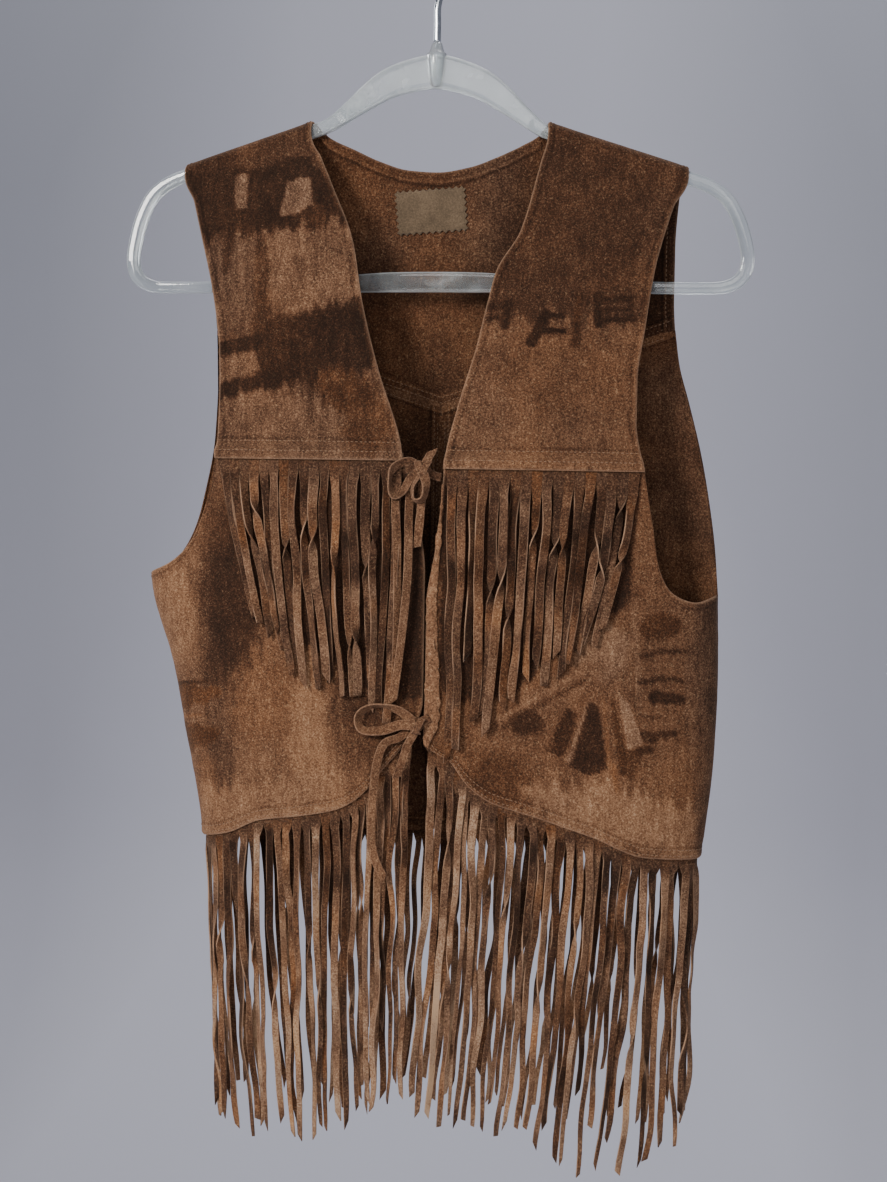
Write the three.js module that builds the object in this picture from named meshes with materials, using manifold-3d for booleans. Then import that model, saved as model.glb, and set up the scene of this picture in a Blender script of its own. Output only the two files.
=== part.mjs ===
import * as THREE from "three";
import Module from "manifold-3d";

// A fringed suede vest hanging on a clear adult hanger. Millimetres, +Z up.
// The front faces -Y and the wearer's left is +X. The origin is the inner crown of the hanger's hook.

// ---- Driving sizes ---------------------------------------------------------------------------

const SUEDE = 1.6; // wall of every suede panel
const SEAM_GAP = 0.3; // clearance between two pieces that are sewn together
const SIDE_POWER = 2.6; // roundness of the body's plan section
const SHOULDER_ROLL = 6.5; // how far each side stands off where the cloth turns over the hanger's arm
const SHOULDER_OVER = 7.2; // height of the shoulder line above the middle of the hanger's arm
const YOKE_LAP = 3.7; // how far the yoke's lower edge stands proud over the fringe's backing
const FRONT_LAP = 2.0; // how far the wearer's left front stands proud at its centre edge

const STRAND_WIDTH = 5.2;
const STRAND_THICK = 1.1;
const STRAND_PITCH = 6.6; // along the hem
const YOKE_STRANDS = 18; // on each front
const YOKE_LEAN = { right: 24, left: -17 }; // how far the outermost strand's tip hangs towards the centre
const HEM_SHOWS = 4.5; // how much of the hem fringe's backing shows below the hem
const STRAND_PARTS = 3; // straight stretches in one strand
const BACKING_THICK = 0.9; // the strip that holds the strands' roots
const LAYER_STEP = 1.9; // every second strand lies this much behind its neighbour

const LACE_WIDTH = 5.6;
const LACE_THICK = 1.4;
const LACE_OUT = 5.3; // middle of a lace's wall, out from the front it hangs against

const ARM_SAG = 2.5; // the hanger's arm on the wearer's left hangs this much lower
const HANGER_THICK = 7; // front to back
const HOOK_WIRE = 2.5; // radius of the chrome wire
const HOOK_RADIUS = 21.5; // to the middle of the wire
const COLLAR_TOP = -78;

const LABEL = { width: 48, height: 29, x: -4, z: -188.5, thick: 1.0, tilt: 0.07 };
const BAND_WIDTH = 9.5; // the turned-back strip along the wearer's left front edge
const BAND_THICK = 1.0;
const EDGE_COLUMN = 10.5; // width of the stretch beside a centre edge that can stand proud
const CENTRE_BACK = 3; // where the centre back seam lies

// Half of the hanger: the middle of the bar, its width in the hanger's plane, from the top's centre round to the bar.
const HANGER = [
  { x: 0, z: -97.3, width: 23 },
  { x: 17, z: -100.3, width: 22 },
  { x: 32, z: -105.6, width: 20 },
  { x: 45, z: -114, width: 17 },
  { x: 58, z: -124, width: 12.5 },
  { x: 72, z: -134, width: 9.4 },
  { x: 85, z: -139, width: 9 },
  { x: 125, z: -152.2, width: 9 },
  { x: 168, z: -166.4, width: 9 },
  { x: 186, z: -173.2, width: 9 },
  { x: 197.5, z: -182.5, width: 9 },
  { x: 205, z: -196.5, width: 9 },
  { x: 209.5, z: -212, width: 9 },
  { x: 211, z: -225, width: 9 },
  { x: 207.8, z: -235, width: 9 },
  { x: 199, z: -241, width: 8.5 },
  { x: 182, z: -242.5, width: 8 },
  { x: 120, z: -241.8, width: 8.5 },
  { x: 70, z: -240.4, width: 11 },
  { x: 35, z: -239, width: 13.5 },
  { x: 0, z: -238.6, width: 14 },
];

// Half widths of the body, by height.
const SECTIONS = [
  { z: -626, right: 155.5, left: 189.5 },
  { z: -600, right: 159.5, left: 193 },
  { z: -558, right: 167, left: 197 },
  { z: -502, right: 179, left: 198.5 },
  { z: -442, right: 195, left: 197 },
  { z: -130, right: 195, left: 197 },
];

// How far the front and the back stand off the middle, by the drop below the shoulder line.
const DEPTHS = [
  { drop: 0, front: 6.5, back: 6.5 },
  { drop: 6.5, front: 6.5, back: 6.5 },
  { drop: 45, front: 15.5, back: 14 },
  { drop: 86, front: 22, back: 20 },
  { drop: 127, front: 27, back: 25 },
  { drop: 174, front: 32, back: 30 },
  { drop: 213, front: 35, back: 33 },
  { drop: 306, front: 38, back: 36 },
  { drop: 520, front: 38.5, back: 37 },
];

// Soft folds: middle, half length along (dx, dz), half width, and how far the crest stands out.
const FOLDS = [
  { face: -1, x: 68, z: -519, dx: 30, dz: 19, width: 15, rise: 2.6 },
  { face: -1, x: 92, z: -548, dx: 34, dz: 12, width: 18, rise: -2.2 },
  { face: -1, x: -96, z: -520, dx: 10, dz: 58, width: 26, rise: 2.8 },
  { face: -1, x: -48, z: -505, dx: -6, dz: 52, width: 20, rise: -2.4 },
  { face: -1, x: 142, z: -520, dx: -8, dz: 60, width: 24, rise: 2.6 },
  { face: -1, x: -104, z: -285, dx: 8, dz: 46, width: 22, rise: 2.0 },
  { face: -1, x: 88, z: -262, dx: -14, dz: 50, width: 24, rise: -2.2 },
  { face: 1, x: -70, z: -480, dx: 12, dz: 90, width: 30, rise: 3.6 },
  { face: 1, x: 62, z: -500, dx: -10, dz: 84, width: 28, rise: 3.2 },
  { face: 1, x: -10, z: -250, dx: 40, dz: 6, width: 18, rise: -2.4 },
];

// Edges of the two fronts. The neck and the centre edge run on into each other.
const EDGE_RIGHT = [
  { z: -560, x: -4 },
  { z: -546, x: -2.6 },
  { z: -520, x: 3.6 },
  { z: -434, x: 3.4 },
  { z: -407, x: 0 },
  { z: -387.5, x: -3.5 },
  { z: -362, x: -11.5 },
  { z: -340.5, x: -17 },
  { z: -301, x: -31 },
  { z: -254, x: -44 },
  { z: -213, x: -52 },
  { z: -172, x: -69 },
  { z: -139, x: -83 },
  { z: -128, x: -85 },
];
const EDGE_LEFT = [
  { z: -561, x: 15 },
  { z: -552, x: 6 },
  { z: -544, x: 4.4 },
  { z: -515, x: 5 },
  { z: -455, x: 5 },
  { z: -421, x: 10 },
  { z: -377, x: 14 },
  { z: -360, x: 15 },
  { z: -320, x: 24 },
  { z: -287, x: 33.5 },
  { z: -253, x: 41 },
  { z: -233, x: 46 },
  { z: -207, x: 61 },
  { z: -173, x: 70 },
  { z: -142, x: 76 },
  { z: -128, x: 77 },
];

// Armhole edges beside the two front yokes, then below them round to the side seams.
const ARMHOLE_RIGHT = [
  { z: -361, x: -143 },
  { z: -321, x: -142 },
  { z: -287, x: -143 },
  { z: -253, x: -148 },
  { z: -205, x: -160 },
  { z: -158, x: -173.5 },
];
const ARMHOLE_LEFT = [
  { z: -366, x: 147 },
  { z: -332, x: 141 },
  { z: -305, x: 141 },
  { z: -273, x: 145 },
  { z: -233, x: 150.5 },
  { z: -199, x: 159 },
  { z: -163, x: 171 },
];
const UNDERARM_RIGHT = [
  { x: -143, z: -355.5 },
  { x: -146, z: -377 },
  { x: -151.5, z: -396 },
  { x: -162, z: -419 },
  { x: -178, z: -433 },
  { x: -195, z: -440 },
];
const UNDERARM_LEFT = [
  { x: 146.4, z: -360.5 },
  { x: 149.5, z: -380 },
  { x: 153.5, z: -402 },
  { x: 158.5, z: -430 },
  { x: 168, z: -446 },
  { x: 183, z: -451.5 },
  { x: 197, z: -447 },
];

// The back's armhole edges, from the underarm up. The wearer's right one lies behind the front's.
const BACK_ARMHOLE_RIGHT = [
  { x: -195, z: -447 },
  { x: -189.5, z: -438 },
  { x: -184, z: -432 },
  { x: -176, z: -421 },
  { x: -170, z: -406 },
  { x: -166.5, z: -392 },
  { x: -162, z: -373 },
  { x: -158.5, z: -354 },
  { x: -156, z: -325 },
  { x: -155, z: -287 },
  { x: -157, z: -253 },
  { x: -163, z: -215 },
  { x: -168, z: -183 },
  { x: -173.5, z: -158 },
];
const BACK_ARMHOLE_LEFT = [
  { x: 197, z: -447 },
  { x: 195.4, z: -424 },
  { x: 192, z: -397 },
  { x: 183, z: -349 },
  { x: 174, z: -315 },
  { x: 165.5, z: -281 },
  { x: 163, z: -248 },
  { x: 163, z: -215 },
  { x: 165, z: -183 },
  { x: 171, z: -158 },
];
const BACK_NECK = [
  { x: -85, z: -129.3 },
  { x: -83.5, z: -130.3 },
  { x: -82, z: -132.2 },
  { x: -79.8, z: -134.8 },
  { x: -74, z: -139.6 },
  { x: -57, z: -147.4 },
  { x: -40, z: -155 },
  { x: -20, z: -161 },
  { x: 1, z: -162.5 },
  { x: 22, z: -159.5 },
  { x: 43, z: -152.5 },
  { x: 60, z: -145.2 },
  { x: 70, z: -139.8 },
  { x: 72.2, z: -137.6 },
  { x: 74, z: -135 },
  { x: 75.5, z: -132.6 },
  { x: 77, z: -131.2 },
];
const BACK_YOKE_DIP = { z: -322, slope: 0.33 }; // the V of the back yoke's seam, at the centre back

// The lower edges of the fronts and of the back.
const HEM_FRONT = [
  { x: -156, z: -623 },
  { x: -133, z: -618 },
  { x: -107, z: -607 },
  { x: -76, z: -602 },
  { x: -54, z: -597 },
  { x: -42, z: -591 },
  { x: -31, z: -581 },
  { x: -23, z: -570 },
  { x: -14, z: -559 },
  { x: -3, z: -546 },
  { x: 6, z: -551 },
  { x: 16, z: -562 },
  { x: 28, z: -577 },
  { x: 45, z: -588 },
  { x: 62, z: -593 },
  { x: 80, z: -598 },
  { x: 99, z: -604 },
  { x: 118, z: -610 },
  { x: 134, z: -617 },
  { x: 150, z: -622 },
  { x: 190, z: -624.5 },
];
const HEM_BACK = [
  { x: -156, z: -623 },
  { x: 0, z: -620 },
  { x: 190, z: -624.5 },
];

// Where the strands end: those under a yoke by where their tips hang, those at the hem by their roots.
const YOKE_TIPS = [
  { x: -139, z: -432 },
  { x: -125, z: -462 },
  { x: -105, z: -476 },
  { x: -80, z: -504 },
  { x: -59, z: -515 },
  { x: -42, z: -521 },
  { x: -15, z: -541 },
  { x: 19, z: -556 },
  { x: 49, z: -542 },
  { x: 69, z: -511 },
  { x: 95, z: -497 },
  { x: 114, z: -483 },
  { x: 142, z: -470 },
];
const HEM_TIPS = [
  { x: -156, z: -812 },
  { x: -137, z: -825 },
  { x: -98, z: -823 },
  { x: -62, z: -812 },
  { x: -9, z: -788 },
  { x: 19, z: -800 },
  { x: 60, z: -808 },
  { x: 108, z: -822 },
  { x: 150, z: -838 },
  { x: 190, z: -800 },
];
const BACK_TIPS = [
  { x: -156, z: -806 },
  { x: -60, z: -816 },
  { x: 0, z: -804 },
  { x: 90, z: -820 },
  { x: 190, z: -802 },
];

// The laces: middle line as seen from the front, and how much further out than LACE_OUT it lies.
const UPPER_KNOT = { x: 1.5, z: -366, across: 6.5, tall: 6, deep: 3.6 };
const UPPER_STUB_LEFT = [
  { x: 13.1, z: -371.6, out: -4.8 },
  { x: 8, z: -370, out: -2.2 },
  { x: 1, z: -366.5, out: 0 },
];
const UPPER_STUB_RIGHT = [
  { x: -10.2, z: -366.5, out: -0.6 },
  { x: -5, z: -366, out: -0.4 },
  { x: 0, z: -366, out: 0 },
];
const UPPER_LOOP_WIDE = [
  { x: 0, z: -366, out: -1.2 },
  { x: -8, z: -361.5, out: -0.2 },
  { x: -17.5, z: -365, out: 0.6 },
  { x: -20.5, z: -374, out: 1.0 },
  { x: -17.5, z: -384, out: 1.2 },
  { x: -11.5, z: -381, out: 1.6 },
  { x: -6, z: -372, out: 1.8 },
  { x: 1, z: -367, out: 1.4 },
];
const UPPER_LOOP_NARROW = [
  { x: 1, z: -367, out: 0.6 },
  { x: -4.5, z: -377, out: 3.6 },
  { x: -3.5, z: -386.5, out: 4.2 },
  { x: 2.5, z: -386, out: 4.6 },
  { x: 4.5, z: -377, out: 4.6 },
  { x: 2, z: -368, out: 2.8 },
];
const UPPER_POINT = [
  { x: 1, z: -366, out: 0.6 },
  { x: 4.5, z: -360, out: 0.8 },
  { x: 7.6, z: -353.5, out: 0.2 },
];
const UPPER_TAIL_LONG = [
  { x: -16.6, z: -387.7, out: 0.2 },
  { x: -15.2, z: -410, out: 0 },
  { x: -14.2, z: -440, out: 0.3 },
  { x: -13.8, z: -475, out: 0.4 },
  { x: -14.6, z: -508, out: 0.2 },
  { x: -16, z: -522, out: 0.2 },
];
const UPPER_TAIL_SECOND = [
  { x: -4.1, z: -372.6, out: -1.5 },
  { x: -6.9, z: -382, out: -1.1 },
  { x: -7.2, z: -397, out: 0.9 },
  { x: -6.8, z: -412, out: 2.2 },
  { x: -7.2, z: -440, out: 2.4 },
  { x: -9.8, z: -472, out: 2.4 },
  { x: -12.6, z: -498, out: 2.2 },
  { x: -14.4, z: -512, out: 2.2 },
];
const UPPER_TAIL_WIDE = [
  { x: 1.4, z: -373.4, out: 0.2 },
  { x: 1.2, z: -385, out: 0.2 },
  { x: 0, z: -402, out: 0 },
  { x: -1.4, z: -418, out: 0 },
];
const LOWER_KNOT = { x: 0.5, z: -536.5, across: 5.5, tall: 5.5, deep: 3.4 };
const LOWER_STUB = [
  { x: 8.5, z: -531, out: -0.6 },
  { x: 4, z: -534, out: -0.5 },
  { x: 0, z: -536.5, out: 0 },
];
const LOWER_LOOP_LONG = [
  { x: 0, z: -536, out: -0.8 },
  { x: -12, z: -527, out: 0 },
  { x: -28, z: -524.5, out: 0.8 },
  { x: -39, z: -531, out: 1.1 },
  { x: -37, z: -540.5, out: 1.3 },
  { x: -24, z: -541, out: 1.5 },
  { x: -10, z: -536.5, out: 1.8 },
  { x: 0, z: -537, out: 1.4 },
];
const LOWER_TAIL_LONG = [
  { x: -4.9, z: -540.6, out: -1.9 },
  { x: -12, z: -545.6, out: -0.9 },
  { x: -21.5, z: -550, out: 0.2 },
  { x: -26.5, z: -566, out: 0.2 },
  { x: -28.6, z: -590, out: 0.3 },
  { x: -29, z: -615, out: 0 },
  { x: -25.5, z: -630, out: -0.2 },
  { x: -19.5, z: -641, out: 0 },
];
const LOWER_TAIL_SHORT = [
  { x: -1.3, z: -542.1, out: 0 },
  { x: -5.4, z: -550, out: 0 },
  { x: -8.6, z: -560, out: 0 },
  { x: -12.4, z: -572, out: 0 },
];

// ---- Looking up the tables -------------------------------------------------------------------

const mix = (a, b, t) => a + (b - a) * t;
const clamp = (t) => Math.min(1, Math.max(0, t));
const ease = (t) => clamp(t) ** 2 * (3 - 2 * clamp(t));

function lookup(table, key, value, want) {
  const rows = [...table].sort((a, b) => a[key] - b[key]);
  if (value <= rows[0][key]) {
    return rows[0][want];
  }
  for (let i = 1; i < rows.length; i += 1) {
    if (value <= rows[i][key]) {
      const t = (value - rows[i - 1][key]) / (rows[i][key] - rows[i - 1][key]);
      return mix(rows[i - 1][want], rows[i][want], t);
    }
  }
  return rows[rows.length - 1][want];
}

// A number from -1 to 1 that looks random but is the same every time.
function scatter(index, salt) {
  const raw = Math.sin(index * 12.9898 + salt * 78.233) * 43758.5453;
  return 2 * (raw - Math.floor(raw)) - 1;
}

// ---- The body's surface ----------------------------------------------------------------------

const armSag = (x) => -ARM_SAG * Math.max(-1, Math.min(1, x / 70));

// The hanger's upper arm, which the shoulders lie on.
function armZ(x) {
  const arms = HANGER.slice(0, 10);
  return lookup(arms, "x", Math.abs(x), "z") + armSag(x);
}

function shoulderZ(x) {
  const reach = 76;
  if (Math.abs(x) >= reach) {
    return armZ(x) + SHOULDER_OVER;
  }
  return mix(armZ(-reach), armZ(reach), (x + reach) / (2 * reach)) + SHOULDER_OVER;
}

function halfWidth(x, z) {
  return lookup(SECTIONS, "z", z, x < 0 ? "right" : "left");
}

function foldRise(x, z, face) {
  let rise = 0;
  for (const fold of FOLDS) {
    if (fold.face === face) {
      const length = Math.hypot(fold.dx, fold.dz);
      const along = ((x - fold.x) * fold.dx + (z - fold.z) * fold.dz) / length;
      const across = ((x - fold.x) * fold.dz - (z - fold.z) * fold.dx) / length;
      const end = ease(1.25 - Math.abs(along) / length);
      rise += fold.rise * end * Math.exp(-((across / fold.width) ** 2));
    }
  }
  return rise;
}

// How far the outer face stands off the middle plane; face is -1 for the front and 1 for the back.
function standOff(x, z, face) {
  const t = Math.min(1, Math.abs(x) / halfWidth(x, z));
  const shape = (1 - t ** SIDE_POWER) ** (1 / SIDE_POWER);
  const drop = shoulderZ(x) - z;
  const depth = lookup(DEPTHS, "drop", drop, face < 0 ? "front" : "back");
  const hung = SHOULDER_ROLL + (depth - SHOULDER_ROLL) * shape;
  return mix(hung, depth * shape, ease((drop - 110) / 90)) + foldRise(x, z, face) * shape;
}

function bodyPoint(x, z, face) {
  return new THREE.Vector3(x, face * standOff(x, z, face), z);
}

// The angle round the plan section at which x lies, and back again.
function sideAngle(x, z) {
  const t = Math.min(1, Math.abs(x) / halfWidth(x, z));
  return Math.sign(x) * Math.asin(t ** (SIDE_POWER / 2));
}

function sideX(angle, z) {
  const t = Math.abs(Math.sin(angle)) ** (2 / SIDE_POWER);
  return Math.sign(angle) * t * halfWidth(angle, z);
}

// ---- Building closed meshes ------------------------------------------------------------------

function closedGeometry(points, faces) {
  const position = new Float32Array(points.length * 3);
  points.forEach((p, i) => {
    position.set([p.x, p.y, p.z], i * 3);
  });
  let volume = 0;
  for (const [a, b, c] of faces) {
    volume += points[a].dot(new THREE.Vector3().crossVectors(points[b], points[c]));
  }
  const index = volume < 0 ? faces.map(([a, b, c]) => [a, c, b]).flat() : faces.flat();
  const geometry = new THREE.BufferGeometry();
  geometry.setAttribute("position", new THREE.BufferAttribute(position, 3));
  geometry.setIndex(index);
  geometry.computeVertexNormals();
  return geometry;
}

function quad(faces, a, b, c, d) {
  faces.push([a, b, c], [a, c, d]);
}

// A wall between two grids of points that have the same rows and columns.
function wallGeometry(outer, inner) {
  const rows = outer.length;
  const columns = outer[0].length;
  const points = [...outer.flat(), ...inner.flat()];
  const faces = [];
  const out = (r, c) => r * columns + c;
  const back = (r, c) => rows * columns + r * columns + c;
  for (let r = 0; r + 1 < rows; r += 1) {
    for (let c = 0; c + 1 < columns; c += 1) {
      quad(faces, out(r, c), out(r + 1, c), out(r + 1, c + 1), out(r, c + 1));
      quad(faces, back(r, c + 1), back(r + 1, c + 1), back(r + 1, c), back(r, c));
    }
    quad(faces, out(r, 0), back(r, 0), back(r + 1, 0), out(r + 1, 0));
    const last = columns - 1;
    quad(faces, out(r, last), out(r + 1, last), back(r + 1, last), back(r, last));
  }
  for (let c = 0; c + 1 < columns; c += 1) {
    quad(faces, out(0, c), out(0, c + 1), back(0, c + 1), back(0, c));
    const last = rows - 1;
    quad(faces, out(last, c), back(last, c), back(last, c + 1), out(last, c + 1));
  }
  return closedGeometry(points, faces);
}

// Outward normals of a grid from a function of row and column.
function gridNormal(at, row, column, face) {
  const step = 0.02;
  const down = at(row + step, column).sub(at(row - step, column));
  const along = at(row, column + step).sub(at(row, column - step));
  const normal = new THREE.Vector3().crossVectors(down, along).normalize();
  const outward = new THREE.Vector3(0.02 * at(row, column).x, face, 0.3);
  return normal.dot(outward) < 0 ? normal.negate() : normal;
}

// A panel: at(row, column) gives its outer face; lift(row, column) moves it out along its normal.
function panelGrids(at, rows, columns, face, lift) {
  const outer = [];
  const inner = [];
  for (let r = 0; r <= rows; r += 1) {
    outer.push([]);
    inner.push([]);
    for (let c = 0; c <= columns; c += 1) {
      const normal = gridNormal(at, r, c, face);
      const out = lift(r, c);
      outer[r].push(at(r, c).addScaledVector(normal, out));
      inner[r].push(at(r, c).addScaledVector(normal, out - SUEDE));
    }
  }
  return { outer, inner };
}

// A sweep of a flat or round section along a line of points; wide lies across the line.
function sweepGeometry(path, normalAt, sectionAt, closed) {
  const points = [];
  const faces = [];
  const count = path.length;
  const sides = sectionAt(0).length;
  path.forEach((p, i) => {
    const before = path[closed ? (i + count - 1) % count : Math.max(0, i - 1)];
    const after = path[closed ? (i + 1) % count : Math.min(count - 1, i + 1)];
    const along = after.clone().sub(before).normalize();
    const normal = normalAt(i).clone();
    normal.addScaledVector(along, -normal.dot(along)).normalize();
    const wide = new THREE.Vector3().crossVectors(along, normal);
    for (const { across, out } of sectionAt(i)) {
      points.push(p.clone().addScaledVector(wide, across).addScaledVector(normal, out));
    }
  });
  const spans = closed ? count : count - 1;
  for (let i = 0; i < spans; i += 1) {
    for (let k = 0; k < sides; k += 1) {
      const a = i * sides;
      const b = ((i + 1) % count) * sides;
      const next = (k + 1) % sides;
      quad(faces, a + k, a + next, b + next, b + k);
    }
  }
  if (!closed) {
    const end = (count - 1) * sides;
    for (let k = 1; k + 1 < sides; k += 1) {
      faces.push([0, k + 1, k], [end, end + k, end + k + 1]);
    }
  }
  return closedGeometry(points, faces);
}

const wasm = await Module();
wasm.setup();

// Joins closed meshes into one.
function joined(geometries) {
  let sum = null;
  for (const geometry of geometries) {
    const mesh = new wasm.Mesh({
      numProp: 3,
      vertProperties: new Float32Array(geometry.getAttribute("position").array),
      triVerts: new Uint32Array(geometry.getIndex().array),
    });
    mesh.merge();
    const solid = new wasm.Manifold(mesh);
    sum = sum ? sum.add(solid) : solid;
  }
  const out = sum.getMesh();
  const geometry = new THREE.BufferGeometry();
  geometry.setAttribute("position", new THREE.BufferAttribute(new Float32Array(out.vertProperties), 3));
  geometry.setIndex(new THREE.BufferAttribute(new Uint32Array(out.triVerts), 1));
  geometry.computeVertexNormals();
  return geometry;
}

// ---- Yokes and lower panels ------------------------------------------------------------------

const ROLL_ROWS = 3;
const YOKE_ROWS = 11;
const SEAM_ROWS = [12, 4.6, 0]; // heights above the yoke's lower edge of its last three rows

// The turn of the cloth over the hanger's arm, at row 0 to ROLL_ROWS.
function rollPoint(x, row, face, startDrop) {
  const begin = Math.acos(1 - Math.min(startDrop, SHOULDER_ROLL) / SHOULDER_ROLL);
  const turn = mix(begin, Math.PI / 2, row / ROLL_ROWS);
  const drop = SHOULDER_ROLL * (1 - Math.cos(turn));
  const off = mix(SEAM_GAP / 2, SHOULDER_ROLL, Math.sin(turn));
  return new THREE.Vector3(x, face * off, shoulderZ(x) - drop);
}

// Heights of a yoke's rows below the turn, ending in the three rows of its lower edge.
function yokeHeight(row, top, bottom) {
  const plain = YOKE_ROWS - SEAM_ROWS.length + 1;
  if (row <= plain) {
    const t = Math.max(0, (row - ROLL_ROWS) / (plain - ROLL_ROWS));
    return mix(top, bottom + SEAM_ROWS[0], t);
  }
  const step = row - plain;
  const floor = Math.min(SEAM_ROWS.length - 1, Math.floor(step));
  const next = Math.min(SEAM_ROWS.length - 1, floor + 1);
  return bottom + mix(SEAM_ROWS[floor], SEAM_ROWS[next], step - floor);
}

const lapRow = (row) => (row > YOKE_ROWS - 1.5 ? YOKE_LAP : 0);

function frontYoke({ edge, armhole, seamZ, columns }) {
  const first = edge[edge.length - 1];
  const last = armhole[armhole.length - 1];
  const at = (row, column) => {
    const u = column / columns;
    if (row < ROLL_ROWS) {
      return rollPoint(mix(first.x, last.x, u), row, -1, 0);
    }
    const topX = mix(first.x, last.x, u);
    const z = yokeHeight(row, shoulderZ(topX) - SHOULDER_ROLL, seamZ);
    const inX = lookup(edge, "z", Math.min(z, first.z - 8), "x");
    const outX = lookup(armhole, "z", z, "x");
    const down = ease((shoulderZ(topX) - SHOULDER_ROLL - z) / 20);
    const x = mix(topX, mix(inX, outX, u), down);
    return bodyPoint(x, z, -1);
  };
  return panelGrids(at, YOKE_ROWS, columns, -1, lapRow);
}

// Columns of a lower panel: evenly along the yoke seam, then down the armhole to the side seam.
function lowerPanel({ face, seam, corner, underarm, edgeX, hem, sideZ, rows, seamColumns, lift }) {
  const way = Math.sign(corner.x);
  const edge = edgeX(seam(corner.x * 0.1));
  const second = edge + way * EDGE_COLUMN;
  const top = [{ x: edge, z: seam(edge) }];
  for (let i = 0; i < seamColumns; i += 1) {
    const x = mix(second, corner.x, i / (seamColumns - 1));
    top.push({ x, z: seam(x) });
  }
  for (const row of underarm) {
    top.push(row);
  }
  const columns = top.length - 1;
  const side = way * (Math.PI / 2 - 0.004);
  const spread = (c) => (c < 1 ? 0.019 * c : mix(0.019, 1, (c - 1) / (columns - 1)));
  const hemStart = edgeX(hem[0].z + (hem === HEM_FRONT ? 70 : 0));
  const at = (row, column) => {
    const c = Math.min(columns, Math.max(0, column));
    const a = Math.floor(c);
    const b = Math.min(columns, a + 1);
    const topX = mix(top[a].x, top[b].x, c - a);
    const topZ = mix(top[a].z, top[b].z, c - a);
    const v = row / rows;
    const firstAngle = sideAngle(hemStart, sideZ);
    const hemX = sideX(mix(firstAngle, side, spread(c)), sideZ);
    const z = mix(topZ, lookup(hem, "x", hemX, "z"), v);
    const inner = sideAngle(edgeX(z), z);
    const topShare = (sideAngle(topX, topZ) - sideAngle(edgeX(topZ), topZ)) /
      (side - sideAngle(edgeX(topZ), topZ));
    const share = mix(topShare, spread(c), ease(v * 1.1));
    const angle = mix(inner, side, clamp(share));
    return bodyPoint(sideX(angle, z), z, face);
  };
  return panelGrids(at, rows, columns, face, lift);
}

const frontEdge = (table) => (z) => lookup(table, "z", z, "x");
const UNDER_YOKE = 5.5; // how far a lower front runs up behind the yoke's lower edge
const SEAM_RIGHT = -361;
const SEAM_LEFT = -366;

const yokeRight = frontYoke({ edge: EDGE_RIGHT, armhole: ARMHOLE_RIGHT, seamZ: SEAM_RIGHT, columns: 8 });
const yokeLeft = frontYoke({ edge: EDGE_LEFT, armhole: ARMHOLE_LEFT, seamZ: SEAM_LEFT, columns: 8 });

const lowerRight = lowerPanel({
  face: -1,
  seam: () => SEAM_RIGHT + UNDER_YOKE,
  corner: UNDERARM_RIGHT[0],
  underarm: UNDERARM_RIGHT.slice(1),
  edgeX: frontEdge(EDGE_RIGHT),
  hem: HEM_FRONT,
  sideZ: -623,
  rows: 11,
  seamColumns: 8,
  lift: () => 0,
});
const lowerLeft = lowerPanel({
  face: -1,
  seam: () => SEAM_LEFT + UNDER_YOKE,
  corner: UNDERARM_LEFT[0],
  underarm: UNDERARM_LEFT.slice(1),
  edgeX: frontEdge(EDGE_LEFT),
  hem: HEM_FRONT,
  sideZ: -624.5,
  rows: 11,
  seamColumns: 8,
  lift: (row, column) => (row > 2 && column < 1 ? FRONT_LAP : 0),
});

const backSeam = (x) => BACK_YOKE_DIP.z + BACK_YOKE_DIP.slope * Math.abs(x - CENTRE_BACK);
const backArm = (z, way) => lookup(way < 0 ? BACK_ARMHOLE_RIGHT : BACK_ARMHOLE_LEFT, "z", z, "x");

function backYoke() {
  const shares = [-1, -0.83, -0.66, -0.49, -0.4813, -0.4726, -0.46, -0.425, -0.33, -0.22, -0.11];
  shares.push(0.01, 0.13, 0.25, 0.35, 0.41, 0.4222, 0.4327, 0.4415, 0.45, 0.63, 0.82, 1);
  const columns = shares.length - 1;
  const at = (row, column) => {
    const c = Math.min(columns, Math.max(0, column));
    const a = Math.floor(c);
    const u = mix(shares[a], shares[Math.min(columns, a + 1)], c - a);
    const topX = Math.abs(u) * backArm(-158, u);
    const onShoulder = topX <= BACK_NECK[0].x || topX >= BACK_NECK[BACK_NECK.length - 1].x;
    const top = onShoulder ? 0 : Math.max(0, shoulderZ(topX) - lookup(BACK_NECK, "x", topX, "z"));
    if (row < ROLL_ROWS && top < SHOULDER_ROLL) {
      return rollPoint(topX, row, 1, top);
    }
    const turned = shoulderZ(topX) - Math.max(top, SHOULDER_ROLL);
    if (row < ROLL_ROWS) {
      return bodyPoint(topX, turned - 1.5 * row, 1);
    }
    const start = top < SHOULDER_ROLL ? turned : turned - 1.5 * ROLL_ROWS;
    let seam = backSeam(topX);
    for (let pass = 0; pass < 4; pass += 1) {
      seam = backSeam(Math.abs(u) * backArm(seam, u)) + 0.2;
    }
    const z = mix(start, seam, (row - ROLL_ROWS) / (YOKE_ROWS - ROLL_ROWS));
    const x = Math.abs(u) * backArm(z, u);
    return bodyPoint(x, z, 1);
  };
  return panelGrids(at, YOKE_ROWS, columns, 1, () => 0);
}
const yokeBack = backYoke();

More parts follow.
